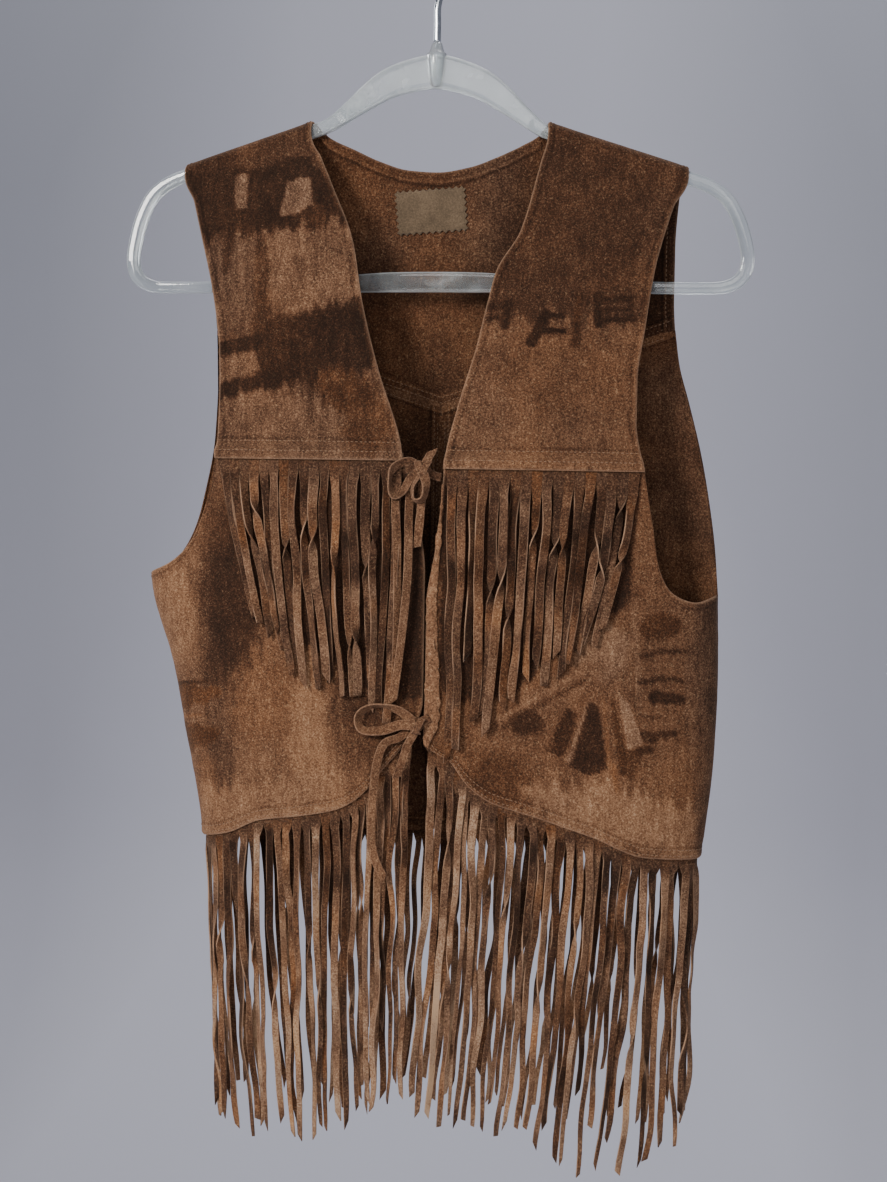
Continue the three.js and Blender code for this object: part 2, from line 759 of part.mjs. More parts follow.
function backLower(way) {
  const cornerX = backArm(-270, way);
  const heights = way < 0 ? [-300, -345, -381, -408, -428, -447] : [-292, -318, -352, -384, -415, -447];
  return lowerPanel({
    face: 1,
    seam: (x) => backSeam(x) - 0.2,
    corner: { x: cornerX },
    underarm: heights.map((z) => ({ x: backArm(z, way), z: z + (z < -440 && way < 0 ? 6 : 0) })),
    edgeX: () => CENTRE_BACK + way * SEAM_GAP * 0.6,
    hem: HEM_BACK,
    sideZ: way < 0 ? -623 : -624.5,
    rows: 9,
    seamColumns: 7,
    lift: () => 0,
  });
}
const backRight = backLower(-1);
const backLeft = backLower(1);

// ---- Fringe ----------------------------------------------------------------------------------

// A comb: a thin backing with a strand hanging from it at every second pair of columns.
// roots: outer top and bottom of the backing and its outward normal, two for each strand.
function combGeometry(roots, strands) {
  const points = [];
  const faces = [];
  for (const { top, bottom, normal } of roots) {
    const behind = (p) => p.clone().addScaledVector(normal, -BACKING_THICK);
    points.push(top, bottom, behind(bottom), behind(top));
  }
  roots.forEach((_, c) => {
    const a = c * 4;
    const b = a + 4;
    if (c + 1 < roots.length) {
      quad(faces, a, a + 1, b + 1, b);
      quad(faces, b + 3, b + 2, a + 2, a + 3);
      quad(faces, a, b, b + 3, a + 3);
      if (c % 2 === 1) {
        quad(faces, a + 1, a + 2, b + 2, b + 1);
      }
    }
  });
  const end = (roots.length - 1) * 4;
  quad(faces, 0, 3, 2, 1);
  quad(faces, end, end + 1, end + 2, end + 3);
  strands.forEach((rings, k) => {
    let from = [k * 8 + 1, k * 8 + 5, k * 8 + 6, k * 8 + 2];
    for (const ring of rings) {
      const start = points.length;
      points.push(...ring);
      const to = [start, start + 1, start + 2, start + 3];
      for (let side = 0; side < 4; side += 1) {
        const next = (side + 1) % 4;
        quad(faces, from[side], to[side], to[next], from[next]);
      }
      from = to;
    }
    quad(faces, from[0], from[3], from[2], from[1]);
  });
  return closedGeometry(points, faces);
}

// One ring of a strand: outer left, outer right, inner right, inner left.
function strandRing(middle, along, normal, width) {
  const half = width / 2;
  const thick = STRAND_THICK / 2;
  const corner = (a, n) => middle.clone().addScaledVector(along, a).addScaledVector(normal, n);
  return [corner(-half, thick), corner(half, thick), corner(half, -thick), corner(-half, -thick)];
}

// Sideways sway of a strand at a share of its length: clumps of strands, and each strand's own.
function strandSway(index, share, salt, reach) {
  const clump = 3.2 * Math.sin(0.6 * index + salt);
  const own = 1.4 * scatter(index, salt);
  const ripple = 0.9 * Math.sin(5.2 * share + 3 * scatter(index, salt + 2));
  return reach * (share * share * (clump + own) + share * ripple);
}

// Fringe that hangs from under the yoke's edge, over the lower front.
function yokeFringe(fromX, toX, seamZ, salt) {
  const outermost = fromX < 0 ? fromX : toX;
  const centre = fromX < 0 ? toX : fromX;
  const pitch = (toX - fromX - STRAND_WIDTH) / (YOKE_STRANDS - 1);
  const roots = [];
  const strands = [];
  const face = (x, z, out) => {
    const slope = (standOff(x + 1, z, -1) - standOff(x - 1, z, -1)) / 2;
    const normal = new THREE.Vector3(-slope, -1, 0).normalize();
    return { point: bodyPoint(x, z, -1).addScaledVector(normal, out), normal };
  };
  for (let k = 0; k < YOKE_STRANDS; k += 1) {
    const x0 = fromX + k * pitch;
    const middleX = x0 + STRAND_WIDTH / 2;
    for (const x of [x0, x0 + STRAND_WIDTH]) {
      const top = face(x, seamZ + 3.8, SEAM_GAP + 0.1 + BACKING_THICK);
      const bottom = face(x, seamZ - 2.4, SEAM_GAP + 0.1 + BACKING_THICK);
      roots.push({ top: top.point, bottom: bottom.point, normal: top.normal });
    }
    const lean = YOKE_LEAN[fromX < 0 ? "right" : "left"] * ((middleX - centre) / (outermost - centre)) ** 1.3;
    const tip = lookup(YOKE_TIPS, "x", middleX + lean, "z") + 6 * scatter(k, salt + 5);
    const layer = k % 2 === 0 ? 1.7 : 1.7 + LAYER_STEP;
    const rings = [];
    for (let j = 1; j <= STRAND_PARTS; j += 1) {
      const share = (j / STRAND_PARTS) ** 1.25;
      const z = mix(seamZ - 2.4, tip, share);
      const x = middleX + lean * share + strandSway(k, share, salt, 0.8);
      const { point, normal } = face(x, z, layer);
      const along = new THREE.Vector3(-normal.y, normal.x, 0);
      const width = j === STRAND_PARTS ? STRAND_WIDTH * 0.6 : STRAND_WIDTH;
      rings.push(strandRing(point, along, normal, width));
    }
    strands.push(rings);
  }
  return combGeometry(roots, strands);
}

// Fringe sewn inside the lower edge of a panel, hanging free below it.
function hemFringe({ inner, outer }, tips, salt, face) {
  const last = inner.length - 1;
  const line = inner[last];
  const stations = [0];
  for (let i = 1; i < line.length; i += 1) {
    stations.push(stations[i - 1] + line[i].distanceTo(line[i - 1]));
  }
  const total = stations[stations.length - 1];
  const margin = 3.5;
  const behind = SEAM_GAP + 0.35;
  const count = Math.floor((total - 2 * margin + STRAND_PITCH - STRAND_WIDTH) / STRAND_PITCH);
  const place = (s) => {
    const i = Math.max(1, stations.findIndex((value) => value >= s));
    const t = (s - stations[i - 1]) / (stations[i] - stations[i - 1]);
    const blend = (grid, row) => grid[row][i - 1].clone().lerp(grid[row][i], t);
    const bottom = blend(inner, last);
    const up = blend(inner, last - 1).sub(bottom).normalize();
    const normal = blend(outer, last).sub(bottom);
    normal.z = 0;
    normal.normalize();
    return { bottom, up, normal };
  };
  const roots = [];
  const strands = [];
  for (let k = 0; k < count; k += 1) {
    const s0 = margin + k * STRAND_PITCH;
    for (const s of [s0, s0 + STRAND_WIDTH]) {
      const { bottom, up, normal } = place(s);
      const low = bottom.clone().addScaledVector(normal, -behind);
      const high = low.clone().addScaledVector(up, 6);
      roots.push({ top: high, bottom: low.setZ(low.z - HEM_SHOWS), normal });
    }
    const { bottom, normal } = place(s0 + STRAND_WIDTH / 2);
    const along = new THREE.Vector3(-normal.y, normal.x, 0);
    const lean = (place(s0).bottom.x > place(s0 + 1).bottom.x) === along.x > 0 ? -1 : 1;
    along.multiplyScalar(lean);
    const tip = lookup(tips, "x", bottom.x, "z") + 8 * scatter(k, salt + 5);
    const layer = behind + BACKING_THICK / 2 + (k % 2 === 0 ? 0 : LAYER_STEP);
    const rings = [];
    for (let j = 1; j <= STRAND_PARTS; j += 1) {
      const share = (j / STRAND_PARTS) ** 1.35;
      const middle = bottom.clone().addScaledVector(normal, -layer);
      middle.addScaledVector(along, strandSway(k, share, salt, 1));
      middle.z = mix(bottom.z - HEM_SHOWS, tip, share);
      const width = j === STRAND_PARTS ? STRAND_WIDTH * 0.6 : STRAND_WIDTH;
      rings.push(strandRing(middle, along, normal, width));
    }
    strands.push(rings);
  }
  return combGeometry(roots, strands);
}

// ---- Trim on the panels ----------------------------------------------------------------------

// The turned-back strip along the wearer's left front edge, moved out from that front.
function edgeBand() {
  const outer = [];
  const inner = [];
  const rows = 12;
  for (let r = 0; r <= rows; r += 1) {
    const z = mix(-376, -545, r / rows);
    const edge = frontEdge(EDGE_LEFT)(z);
    const start = edge + 0.6;
    outer.push([]);
    inner.push([]);
    for (let c = 0; c <= 2; c += 1) {
      const x = start + (c / 2) * (r === 0 ? 3 : Math.min(BAND_WIDTH, 15.4 - start));
      const base = bodyPoint(x, z, -1);
      const lap = FRONT_LAP * clamp(1 - (x - edge) / EDGE_COLUMN) + SEAM_GAP + 0.6;
      outer[r].push(base.clone().setY(base.y - lap - BAND_THICK));
      inner[r].push(base.clone().setY(base.y - lap));
    }
  }
  return wallGeometry(outer, inner);
}

// The cloth label inside the back yoke, a small flat patch that follows the yoke's inner face.
function neckLabel() {
  const outer = [];
  const inner = [];
  for (let r = 0; r <= 2; r += 1) {
    outer.push([]);
    inner.push([]);
    for (let c = 0; c <= 6; c += 1) {
      const across = (c / 6 - 0.5) * LABEL.width;
      const down = (0.5 - r / 2) * LABEL.height;
      const x = LABEL.x + across * Math.cos(LABEL.tilt) - down * Math.sin(LABEL.tilt);
      const z = LABEL.z + down * Math.cos(LABEL.tilt) + across * Math.sin(LABEL.tilt);
      const base = bodyPoint(x, z, 1);
      const inside = SUEDE + SEAM_GAP + 0.4;
      outer[r].push(base.clone().setY(base.y - inside));
      inner[r].push(base.clone().setY(base.y - inside - LABEL.thick));
    }
  }
  return wallGeometry(outer, inner);
}

// ---- Laces -----------------------------------------------------------------------------------

const flatSection = [
  { across: -LACE_WIDTH / 2, out: -LACE_THICK / 2 },
  { across: LACE_WIDTH / 2, out: -LACE_THICK / 2 },
  { across: LACE_WIDTH / 2, out: LACE_THICK / 2 },
  { across: -LACE_WIDTH / 2, out: LACE_THICK / 2 },
];

function lacePath(rows, steps) {
  const points = rows.map(({ x, z, out }) => {
    const p = bodyPoint(x, z, -1);
    return p.setY(p.y - LACE_OUT - out);
  });
  return new THREE.CatmullRomCurve3(points, false, "centripetal").getSpacedPoints(steps);
}

function lace(rows, steps) {
  const path = lacePath(rows, steps);
  return sweepGeometry(path, () => new THREE.Vector3(0, -1, 0), () => flatSection, false);
}

function knot({ x, z, across, tall, deep }) {
  const geometry = new THREE.SphereGeometry(1, 10, 7);
  geometry.scale(across, deep, tall);
  const middle = bodyPoint(x, z, -1);
  geometry.translate(middle.x, middle.y - LACE_OUT - 0.4, middle.z);
  geometry.deleteAttribute("uv");
  geometry.deleteAttribute("normal");
  return geometry;
}

// ---- Hanger ----------------------------------------------------------------------------------

function hangerLine() {
  const right = HANGER.map(({ x, z, width }) => ({ x, z, width }));
  const left = HANGER.slice(1, -1).reverse().map(({ x, z, width }) => ({ x: -x, z, width }));
  const ring = [...right, ...left];
  return ring.map((row) => {
    const upper = row.z > -232 ? armSag(row.x) * ease((row.z + 232) / 50) : 0;
    return { ...row, z: row.z + upper };
  });
}

function hangerFrame() {
  const ring = hangerLine();
  const curve = new THREE.CatmullRomCurve3(
    ring.map(({ x, z }) => new THREE.Vector3(x, 0, z)), true, "centripetal");
  const steps = 2;
  const path = [];
  const widths = [];
  ring.forEach((row, i) => {
    const next = ring[(i + 1) % ring.length];
    for (let k = 0; k < steps; k += 1) {
      path.push(curve.getPoint((i + k / steps) / ring.length));
      widths.push(mix(row.width, next.width, k / steps));
    }
  });
  const thick = HANGER_THICK / 2;
  const section = (i) => {
    const half = widths[i] / 2;
    const round = 2.2;
    return [
      { across: -half, out: thick - round }, { across: -half + round, out: thick },
      { across: half - round, out: thick }, { across: half, out: thick - round },
      { across: half, out: round - thick }, { across: half - round, out: -thick },
      { across: round - half, out: -thick }, { across: -half, out: round - thick },
    ].reverse();
  };
  const loop = sweepGeometry(path, () => new THREE.Vector3(0, -1, 0), section, true);
  const cup = new THREE.LatheGeometry([
    new THREE.Vector2(0, -108),
    new THREE.Vector2(4, -108),
    new THREE.Vector2(7, -86.5),
    new THREE.Vector2(5.6, -85),
    new THREE.Vector2(3.4, COLLAR_TOP),
    new THREE.Vector2(0, COLLAR_TOP),
  ], 16);
  cup.rotateX(Math.PI / 2);
  cup.deleteAttribute("uv");
  cup.deleteAttribute("normal");
  return joined([loop, cup]);
}

// Chrome wire: straight up from the collar, then round the hook, open towards the wearer's right.
function hangerHook() {
  const centre = -19;
  const points = [
    new THREE.Vector3(0, 0, COLLAR_TOP + SEAM_GAP),
    new THREE.Vector3(0, 0, -66),
    new THREE.Vector3(0, 0, -54),
    new THREE.Vector3(2.5, 0, -46),
    new THREE.Vector3(10, 0, -40),
  ];
  for (let degrees = -48; degrees <= 200; degrees += 14) {
    const a = (degrees * Math.PI) / 180;
    points.push(new THREE.Vector3(HOOK_RADIUS * Math.cos(a), 0, centre + HOOK_RADIUS * Math.sin(a)));
  }
  const curve = new THREE.CatmullRomCurve3(points, false, "centripetal");
  const round = [];
  for (let k = 0; k < 8; k += 1) {
    const a = (k * Math.PI) / 4;
    round.push({ across: HOOK_WIRE * Math.cos(a), out: HOOK_WIRE * Math.sin(a) });
  }
  return sweepGeometry(curve.getSpacedPoints(44), () => new THREE.Vector3(0, -1, 0), () => round, false);
}

// ---- The object ------------------------------------------------------------------------------

const SUEDE_LOOK = { color: 0x5f4030, roughness: 0.95, metalness: 0 };
const ROUGH_SIDE = { color: 0x8a6a52, roughness: 1, metalness: 0 };
const LABEL_LOOK = { color: 0x7b6554, roughness: 0.9, metalness: 0 };
const CLEAR = { color: 0xdfe5ea, roughness: 0.08, metalness: 0 };
const CHROME = { color: 0xb9bdc2, roughness: 0.12, metalness: 1 };

const vest = new THREE.Group();

function put(name, geometry, look) {
  const mesh = new THREE.Mesh(geometry, new THREE.MeshStandardMaterial(look));
  mesh.name = name;
  vest.add(mesh);
}

const panels = {
  front_yoke_right: yokeRight,
  front_yoke_left: yokeLeft,
  front_lower_right: lowerRight,
  front_lower_left: lowerLeft,
  back_yoke: yokeBack,
  back_lower_right: backRight,
  back_lower_left: backLeft,
};
for (const [name, { outer, inner }] of Object.entries(panels)) {
  put(name, wallGeometry(outer, inner), SUEDE_LOOK);
}
put("yoke_fringe_right", yokeFringe(-139, -14.5, SEAM_RIGHT, 1), SUEDE_LOOK);
put("yoke_fringe_left", yokeFringe(18, 143, SEAM_LEFT, 2), SUEDE_LOOK);
put("hem_fringe_front_right", hemFringe(lowerRight, HEM_TIPS, 3, -1), SUEDE_LOOK);
put("hem_fringe_front_left", hemFringe(lowerLeft, HEM_TIPS, 4, -1), SUEDE_LOOK);
put("hem_fringe_back_right", hemFringe(backRight, BACK_TIPS, 5, 1), SUEDE_LOOK);
put("hem_fringe_back_left", hemFringe(backLeft, BACK_TIPS, 6, 1), SUEDE_LOOK);
put("front_edge_band", edgeBand(), ROUGH_SIDE);
put("neck_label", neckLabel(), LABEL_LOOK);
put("tie_upper_bow", joined([
  knot(UPPER_KNOT),
  lace(UPPER_STUB_LEFT, 4),
  lace(UPPER_STUB_RIGHT, 3),
  lace(UPPER_LOOP_WIDE, 16),
  lace(UPPER_LOOP_NARROW, 12),
  lace(UPPER_POINT, 4),
]), SUEDE_LOOK);
put("tie_upper_tail_long", lace(UPPER_TAIL_LONG, 12), SUEDE_LOOK);
put("tie_upper_tail_second", lace(UPPER_TAIL_SECOND, 13), SUEDE_LOOK);
put("tie_upper_tail_wide", lace(UPPER_TAIL_WIDE, 4), SUEDE_LOOK);
put("tie_lower_bow", joined([
  knot(LOWER_KNOT),
  lace(LOWER_STUB, 3),
  lace(LOWER_LOOP_LONG, 16),
]), SUEDE_LOOK);
put("tie_lower_tail_long", lace(LOWER_TAIL_LONG, 12), SUEDE_LOOK);
put("tie_lower_tail_short", lace(LOWER_TAIL_SHORT, 4), SUEDE_LOOK);
put("hanger_frame", hangerFrame(), CLEAR);
put("hanger_hook", hangerHook(), CHROME);

export default vest;
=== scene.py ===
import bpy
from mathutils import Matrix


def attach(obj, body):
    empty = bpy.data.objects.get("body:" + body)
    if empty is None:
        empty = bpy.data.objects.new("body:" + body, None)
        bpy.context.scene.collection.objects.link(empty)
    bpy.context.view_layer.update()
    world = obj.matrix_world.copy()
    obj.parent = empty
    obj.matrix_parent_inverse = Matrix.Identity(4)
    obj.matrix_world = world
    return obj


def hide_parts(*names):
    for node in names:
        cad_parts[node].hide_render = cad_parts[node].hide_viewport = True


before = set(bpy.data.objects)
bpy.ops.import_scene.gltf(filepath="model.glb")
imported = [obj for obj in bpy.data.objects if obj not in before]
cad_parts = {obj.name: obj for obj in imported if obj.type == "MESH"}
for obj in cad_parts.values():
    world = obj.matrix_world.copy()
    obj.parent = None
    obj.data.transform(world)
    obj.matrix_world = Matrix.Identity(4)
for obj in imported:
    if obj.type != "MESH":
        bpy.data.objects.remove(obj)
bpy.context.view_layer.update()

import math

import bpy
import numpy as np
from mathutils import Matrix, Vector

# Every length below is in millimetres, in the row frame, and becomes metres when a mesh is made.
MM = 0.001

# ---- Camera ----------------------------------------------------------------------------------

CAMERA_AT = (184.35, -1234.64, -383.58)
CAMERA_TURN, CAMERA_RISE, CAMERA_ROLL = (math.radians(a) for a in (8.0, 3.0, 1.0))
LENS = 55.41
SENSOR = 36
PHOTO = (887, 1182)


def camera_axes():
    level = math.cos(CAMERA_RISE)
    back = Vector((math.sin(CAMERA_TURN) * level, -math.cos(CAMERA_TURN) * level, math.sin(CAMERA_RISE)))
    right = (-back).cross(Vector((0, 0, 1))).normalized()
    up = right.cross(-back)
    c, s = math.cos(CAMERA_ROLL), math.sin(CAMERA_ROLL)
    return right * c + up * s, up * c - right * s, back


RIGHT, UP, BACK = camera_axes()
camera = bpy.data.objects.new("photo_camera", bpy.data.cameras.new("photo_camera"))
bpy.context.scene.collection.objects.link(camera)
camera.data.lens = LENS
camera.data.sensor_width = SENSOR
camera.data.clip_start, camera.data.clip_end = 0.05, 20
placed = [[RIGHT[i], UP[i], BACK[i], CAMERA_AT[i] * MM] for i in range(3)]
camera.matrix_world = Matrix(placed + [[0, 0, 0, 1]])
bpy.context.scene.camera = camera


def photo_place(points):
    """Where points lie in the picture, in its own pixels."""
    d = points - np.array(CAMERA_AT)
    depth = -(d @ np.array(BACK))
    scale = LENS / SENSOR * PHOTO[1] / depth
    return PHOTO[0] / 2 + scale * (d @ np.array(RIGHT)), PHOTO[1] / 2 - scale * (d @ np.array(UP))


# ---- Sizes, as in the part's source ------------------------------------------------------------

SUEDE = 1.6
SEAM_GAP = 0.3
SIDE_POWER = 2.6
SHOULDER_ROLL = 6.5
SHOULDER_OVER = 7.2
YOKE_LAP = 3.7
FRONT_LAP = 2.0
STRAND_WIDTH = 5.2
STRAND_THICK = 1.1
BACKING_THICK = 0.9
LAYER_STEP = 1.9
HEM_SHOWS = 4.5
LACE_WIDTH = 5.6
LACE_THICK = 1.4
LACE_OUT = 5.3
ARM_SAG = 2.5
HANGER_THICK = 7
HOOK_WIRE = 2.5
HOOK_RADIUS = 21.5
COLLAR_TOP = -78
EDGE_COLUMN = 10.5
CENTRE_BACK = 3
SEAM_RIGHT, SEAM_LEFT = -361, -366
UNDER_YOKE = 5.5
TURNED_EDGE, TURNED_HEM, TURNED_YOKE = 4.2, 7.6, 14.0
FACING = 7
STRIP_THICK = 0.8
NECK_HALF = 76
SAG_AT = 70
SHOULDER_ENDS, SHOULDER_FADE = 110, 90
FOLD_REACH = 1.25
HEM_END_RIGHT, HEM_END_LEFT = -623, -624.5
V_SEAM_GAP = 0.03

HANGER = [
    (0, -97.3, 23), (17, -100.3, 22), (32, -105.6, 20), (45, -114, 17), (58, -124, 12.5),
    (72, -134, 9.4), (85, -139, 9), (125, -152.2, 9), (168, -166.4, 9), (186, -173.2, 9),
    (197.5, -182.5, 9), (205, -196.5, 9), (209.5, -212, 9), (211, -225, 9), (207.8, -235, 9),
    (199, -241, 8.5), (182, -242.5, 8), (120, -241.8, 8.5), (70, -240.4, 11), (35, -239, 13.5),
    (0, -238.6, 14),
]
SECTIONS = [
    (-626, 155.5, 189.5), (-600, 159.5, 193), (-558, 167, 197), (-502, 179, 198.5),
    (-442, 195, 197), (-130, 195, 197),
]
DEPTHS = [
    (0, 6.5, 6.5), (6.5, 6.5, 6.5), (45, 15.5, 14), (86, 22, 20), (127, 27, 25), (174, 32, 30),
    (213, 35, 33), (306, 38, 36), (520, 38.5, 37),
]
FOLDS = [  # face, middle, half length along (dx, dz), half width, rise
    (-1, 68, -519, 30, 19, 15, 2.6), (-1, 92, -548, 34, 12, 18, -2.2), (-1, -96, -520, 10, 58, 26, 2.8),
    (-1, -48, -505, -6, 52, 20, -2.4), (-1, 142, -520, -8, 60, 24, 2.6), (-1, -104, -285, 8, 46, 22, 2.0),
    (-1, 88, -262, -14, 50, 24, -2.2), (1, -70, -480, 12, 90, 30, 3.6), (1, 62, -500, -10, 84, 28, 3.2),
    (1, -10, -250, 40, 6, 18, -2.4),
]
EDGE_RIGHT = [
    (-560, -4), (-546, -2.6), (-520, 3.6), (-434, 3.4), (-407, 0), (-387.5, -3.5), (-362, -11.5),
    (-340.5, -17), (-301, -31), (-254, -44), (-213, -52), (-172, -69), (-139, -83), (-128, -85),
]
EDGE_LEFT = [
    (-561, 15), (-552, 6), (-544, 4.4), (-515, 5), (-455, 5), (-421, 10), (-377, 14), (-360, 15),
    (-320, 24), (-287, 33.5), (-253, 41), (-233, 46), (-207, 61), (-173, 70), (-142, 76), (-128, 77),
]
ARMHOLE_RIGHT = [(-361, -143), (-321, -142), (-287, -143), (-253, -148), (-205, -160), (-158, -173.5)]
ARMHOLE_LEFT = [
    (-366, 147), (-332, 141), (-305, 141), (-273, 145), (-233, 150.5), (-199, 159), (-163, 171),
]
UNDERARM_RIGHT = [
    (-143, -355.5), (-146, -377), (-151.5, -396), (-162, -419), (-178, -433), (-195, -440),
]
UNDERARM_LEFT = [
    (146.4, -360.5), (149.5, -380), (153.5, -402), (158.5, -430), (168, -446), (183, -451.5), (197.2, -447),
]
BACK_ARMHOLE_RIGHT = [
    (-447, -195), (-438, -189.5), (-432, -184), (-421, -176), (-406, -170), (-392, -166.5), (-373, -162),
    (-354, -158.5), (-325, -156), (-287, -155), (-253, -157), (-215, -163), (-183, -168), (-158, -173.5),
]
BACK_ARMHOLE_LEFT = [
    (-447, 197.2), (-424, 195.4), (-397, 192), (-349, 183), (-315, 174), (-281, 165.5), (-248, 163),
    (-215, 163), (-183, 165), (-158, 171),
]
BACK_NECK = [
    (-85, -129.3), (-82, -132.2), (-74, -139.6), (-57, -147.4), (-40, -155), (-20, -161), (1, -162.5),
    (22, -159.5), (43, -152.5), (60, -145.2), (70, -139.8), (74, -135), (77, -131.2),
]
BACK_YOKE_DIP = (-322, 0.33)
HEM_FRONT = [
    (-156, -623), (-133, -618), (-107, -607), (-76, -602), (-54, -597), (-42, -591), (-31, -581),
    (-23, -570), (-14, -559), (-3, -546), (6, -551), (16, -562), (28, -577), (45, -588), (62, -593),
    (80, -598), (99, -604), (118, -610), (134, -617), (150, -622), (190, -624.5),
]
HEM_BACK = [(-156, -623), (0, -620), (190, -624.5)]
YOKE_TIPS = [
    (-139, -432), (-125, -462), (-105, -476), (-80, -504), (-59, -515), (-42, -521), (-15, -541),
    (19, -556), (49, -542), (69, -511), (95, -497), (114, -483), (142, -470),
]
HEM_TIPS = [
    (-156, -812), (-137, -825), (-98, -823), (-62, -812), (-9, -788), (19, -800), (60, -808),
    (108, -822), (150, -838), (190, -800),
]
BACK_TIPS = [(-156, -806), (-60, -816), (0, -804), (90, -820), (190, -802)]

# Laces: x, z and how much further out than LACE_OUT the middle line lies.
UPPER_STUB_LEFT = [(13.1, -371.6, -4.8), (8, -370, -2.2), (1, -366.5, 0)]
UPPER_STUB_RIGHT = [(-10.2, -366.5, -0.6), (-5, -366, -0.4), (0, -366, 0)]
UPPER_LOOP_WIDE = [
    (0, -366, -1.2), (-8, -361.5, -0.2), (-17.5, -365, 0.6), (-20.5, -374, 1.0), (-17.5, -384, 1.2),
    (-11.5, -381, 1.6), (-6, -372, 1.8), (1, -367, 1.4),
]
UPPER_LOOP_NARROW = [
    (1, -367, 0.6), (-4.5, -377, 3.6), (-3.5, -386.5, 4.2), (2.5, -386, 4.6), (4.5, -377, 4.6),
    (2, -368, 2.8),
]
UPPER_POINT = [(1, -366, 0.6), (4.5, -360, 0.8), (7.6, -353.5, 0.2)]
UPPER_TAIL_LONG = [
    (-16.6, -387.7, 0.2), (-15.2, -410, 0), (-14.2, -440, 0.3), (-13.8, -475, 0.4),
    (-14.6, -508, 0.2), (-16, -522, 0.2),
]
UPPER_TAIL_SECOND = [
    (-4.1, -372.6, -1.5), (-6.9, -382, -1.1), (-7.2, -397, 0.9), (-6.8, -412, 2.2),
    (-7.2, -440, 2.4), (-9.8, -472, 2.4), (-12.6, -498, 2.2), (-14.4, -512, 2.2),
]
UPPER_TAIL_WIDE = [(1.4, -373.4, 0.2), (1.2, -385, 0.2), (0, -402, 0), (-1.4, -418, 0)]
LOWER_STUB = [(8.5, -531, -0.6), (4, -534, -0.5), (0, -536.5, 0)]
LOWER_LOOP_LONG = [
    (0, -536, -0.8), (-12, -527, 0), (-28, -524.5, 0.8), (-39, -531, 1.1), (-37, -540.5, 1.3),
    (-24, -541, 1.5), (-10, -536.5, 1.8), (0, -537, 1.4),
]
LOWER_TAIL_LONG = [
    (-4.9, -540.6, -1.9), (-12, -545.6, -0.9), (-21.5, -550, 0.2), (-26.5, -566, 0.2),
    (-28.6, -590, 0.3), (-29, -615, 0), (-25.5, -630, -0.2), (-19.5, -641, 0),
]
LOWER_TAIL_SHORT = [(0, -537, 0), (-1.3, -542.1, 0), (-5.4, -550, 0), (-8.6, -560, 0), (-12.4, -572, 0)]


# ---- Small maths -------------------------------------------------------------------------------

def ease(t):
    t = np.clip(t, 0, 1)
    return t * t * (3 - 2 * t)


def mix(a, b, t):
    return a + (b - a) * t


def curve(rows, column=1):
    """A function through rows of (key, value, ...): smooth, and never beyond its rows."""
    table = np.array(sorted(rows), float)
    k, v = table[:, 0], table[:, column]
    h = np.diff(k)
    d = np.diff(v) / h
    m = np.concatenate([d[:1], np.zeros(len(v) - 2), d[-1:]])
    same = d[:-1] * d[1:] > 0
    both = np.where(same, d[:-1] + d[1:], 1)
    m[1:-1] = np.where(same, 2 * d[:-1] * d[1:] / both, 0)
    t = np.linspace(0, 1, 9)[:-1][None, :]
    keys = k[:-1, None] + h[:, None] * t
    values = ((2 * t**3 - 3 * t**2 + 1) * v[:-1, None] + (t**3 - 2 * t**2 + t) * h[:, None] * m[:-1, None]
              + (3 * t**2 - 2 * t**3) * v[1:, None] + (t**3 - t**2) * h[:, None] * m[1:, None])
    keys, values = np.append(keys, k[-1]), np.append(values, v[-1])
    return lambda q: np.interp(q, keys, values)


def hills(u, v, size, seed):
    """Smooth random heights from -1 to 1, with hills about size wide."""
    grid = np.random.default_rng(seed).uniform(-1, 1, (89, 89))
    a, b = np.asarray(u, float) / size + 890, np.asarray(v, float) / size + 890
    i, j = np.floor(a).astype(int), np.floor(b).astype(int)
    s, t = ease(a - i), ease(b - j)
    top = mix(grid[i % 89, j % 89], grid[(i + 1) % 89, j % 89], s)
    low = mix(grid[i % 89, (j + 1) % 89], grid[(i + 1) % 89, (j + 1) % 89], s)
    return mix(top, low, t)


def scatter(index, salt):
    """A number from -1 to 1 that is always the same for an index and a salt."""
    raw = math.sin(index * 12.9898 + salt * 78.233) * 43758.5453
    return 2 * (raw - math.floor(raw)) - 1


def unit(v):
    return v / np.maximum(np.linalg.norm(v, axis=-1, keepdims=True), 1e-9)


def ridge(d, at, wide):
    """1 where d is at, falling off on both sides."""
    return np.exp(-((d - at) / wide) ** 2)


def arc_length(line):
    """Distance along a line of points, from its start to each of them."""
    return np.concatenate([[0], np.cumsum(np.linalg.norm(np.diff(line, axis=0), axis=1))])


def along_line(at, s, line):
    """Points, or directions, at distances along a line whose own distances are s."""
    return np.stack([np.interp(at, s, line[:, k]) for k in range(3)], -1)


def smooth_line(rows, steps, closed=False):
    """A smooth line through rows, with steps points from each one to the next."""
    rows = np.array(rows, float)
    if closed:
        padded = np.concatenate([rows[-1:], rows, rows[:2]])
    else:
        padded = np.concatenate([[2 * rows[0] - rows[1]], rows, [2 * rows[-1] - rows[-2]]])
    t = np.arange(steps)[:, None] / steps
    line = []
    for p0, p1, p2, p3 in zip(padded, padded[1:], padded[2:], padded[3:]):
        line.append(0.5 * (2 * p1 + (p2 - p0) * t + (2 * p0 - 5 * p1 + 4 * p2 - p3) * t**2
                           + (3 * p1 - p0 - 3 * p2 + p3) * t**3))
    return np.concatenate(line if closed else line + [rows[-1:]])


# ---- The body's surface ------------------------------------------------------------------------

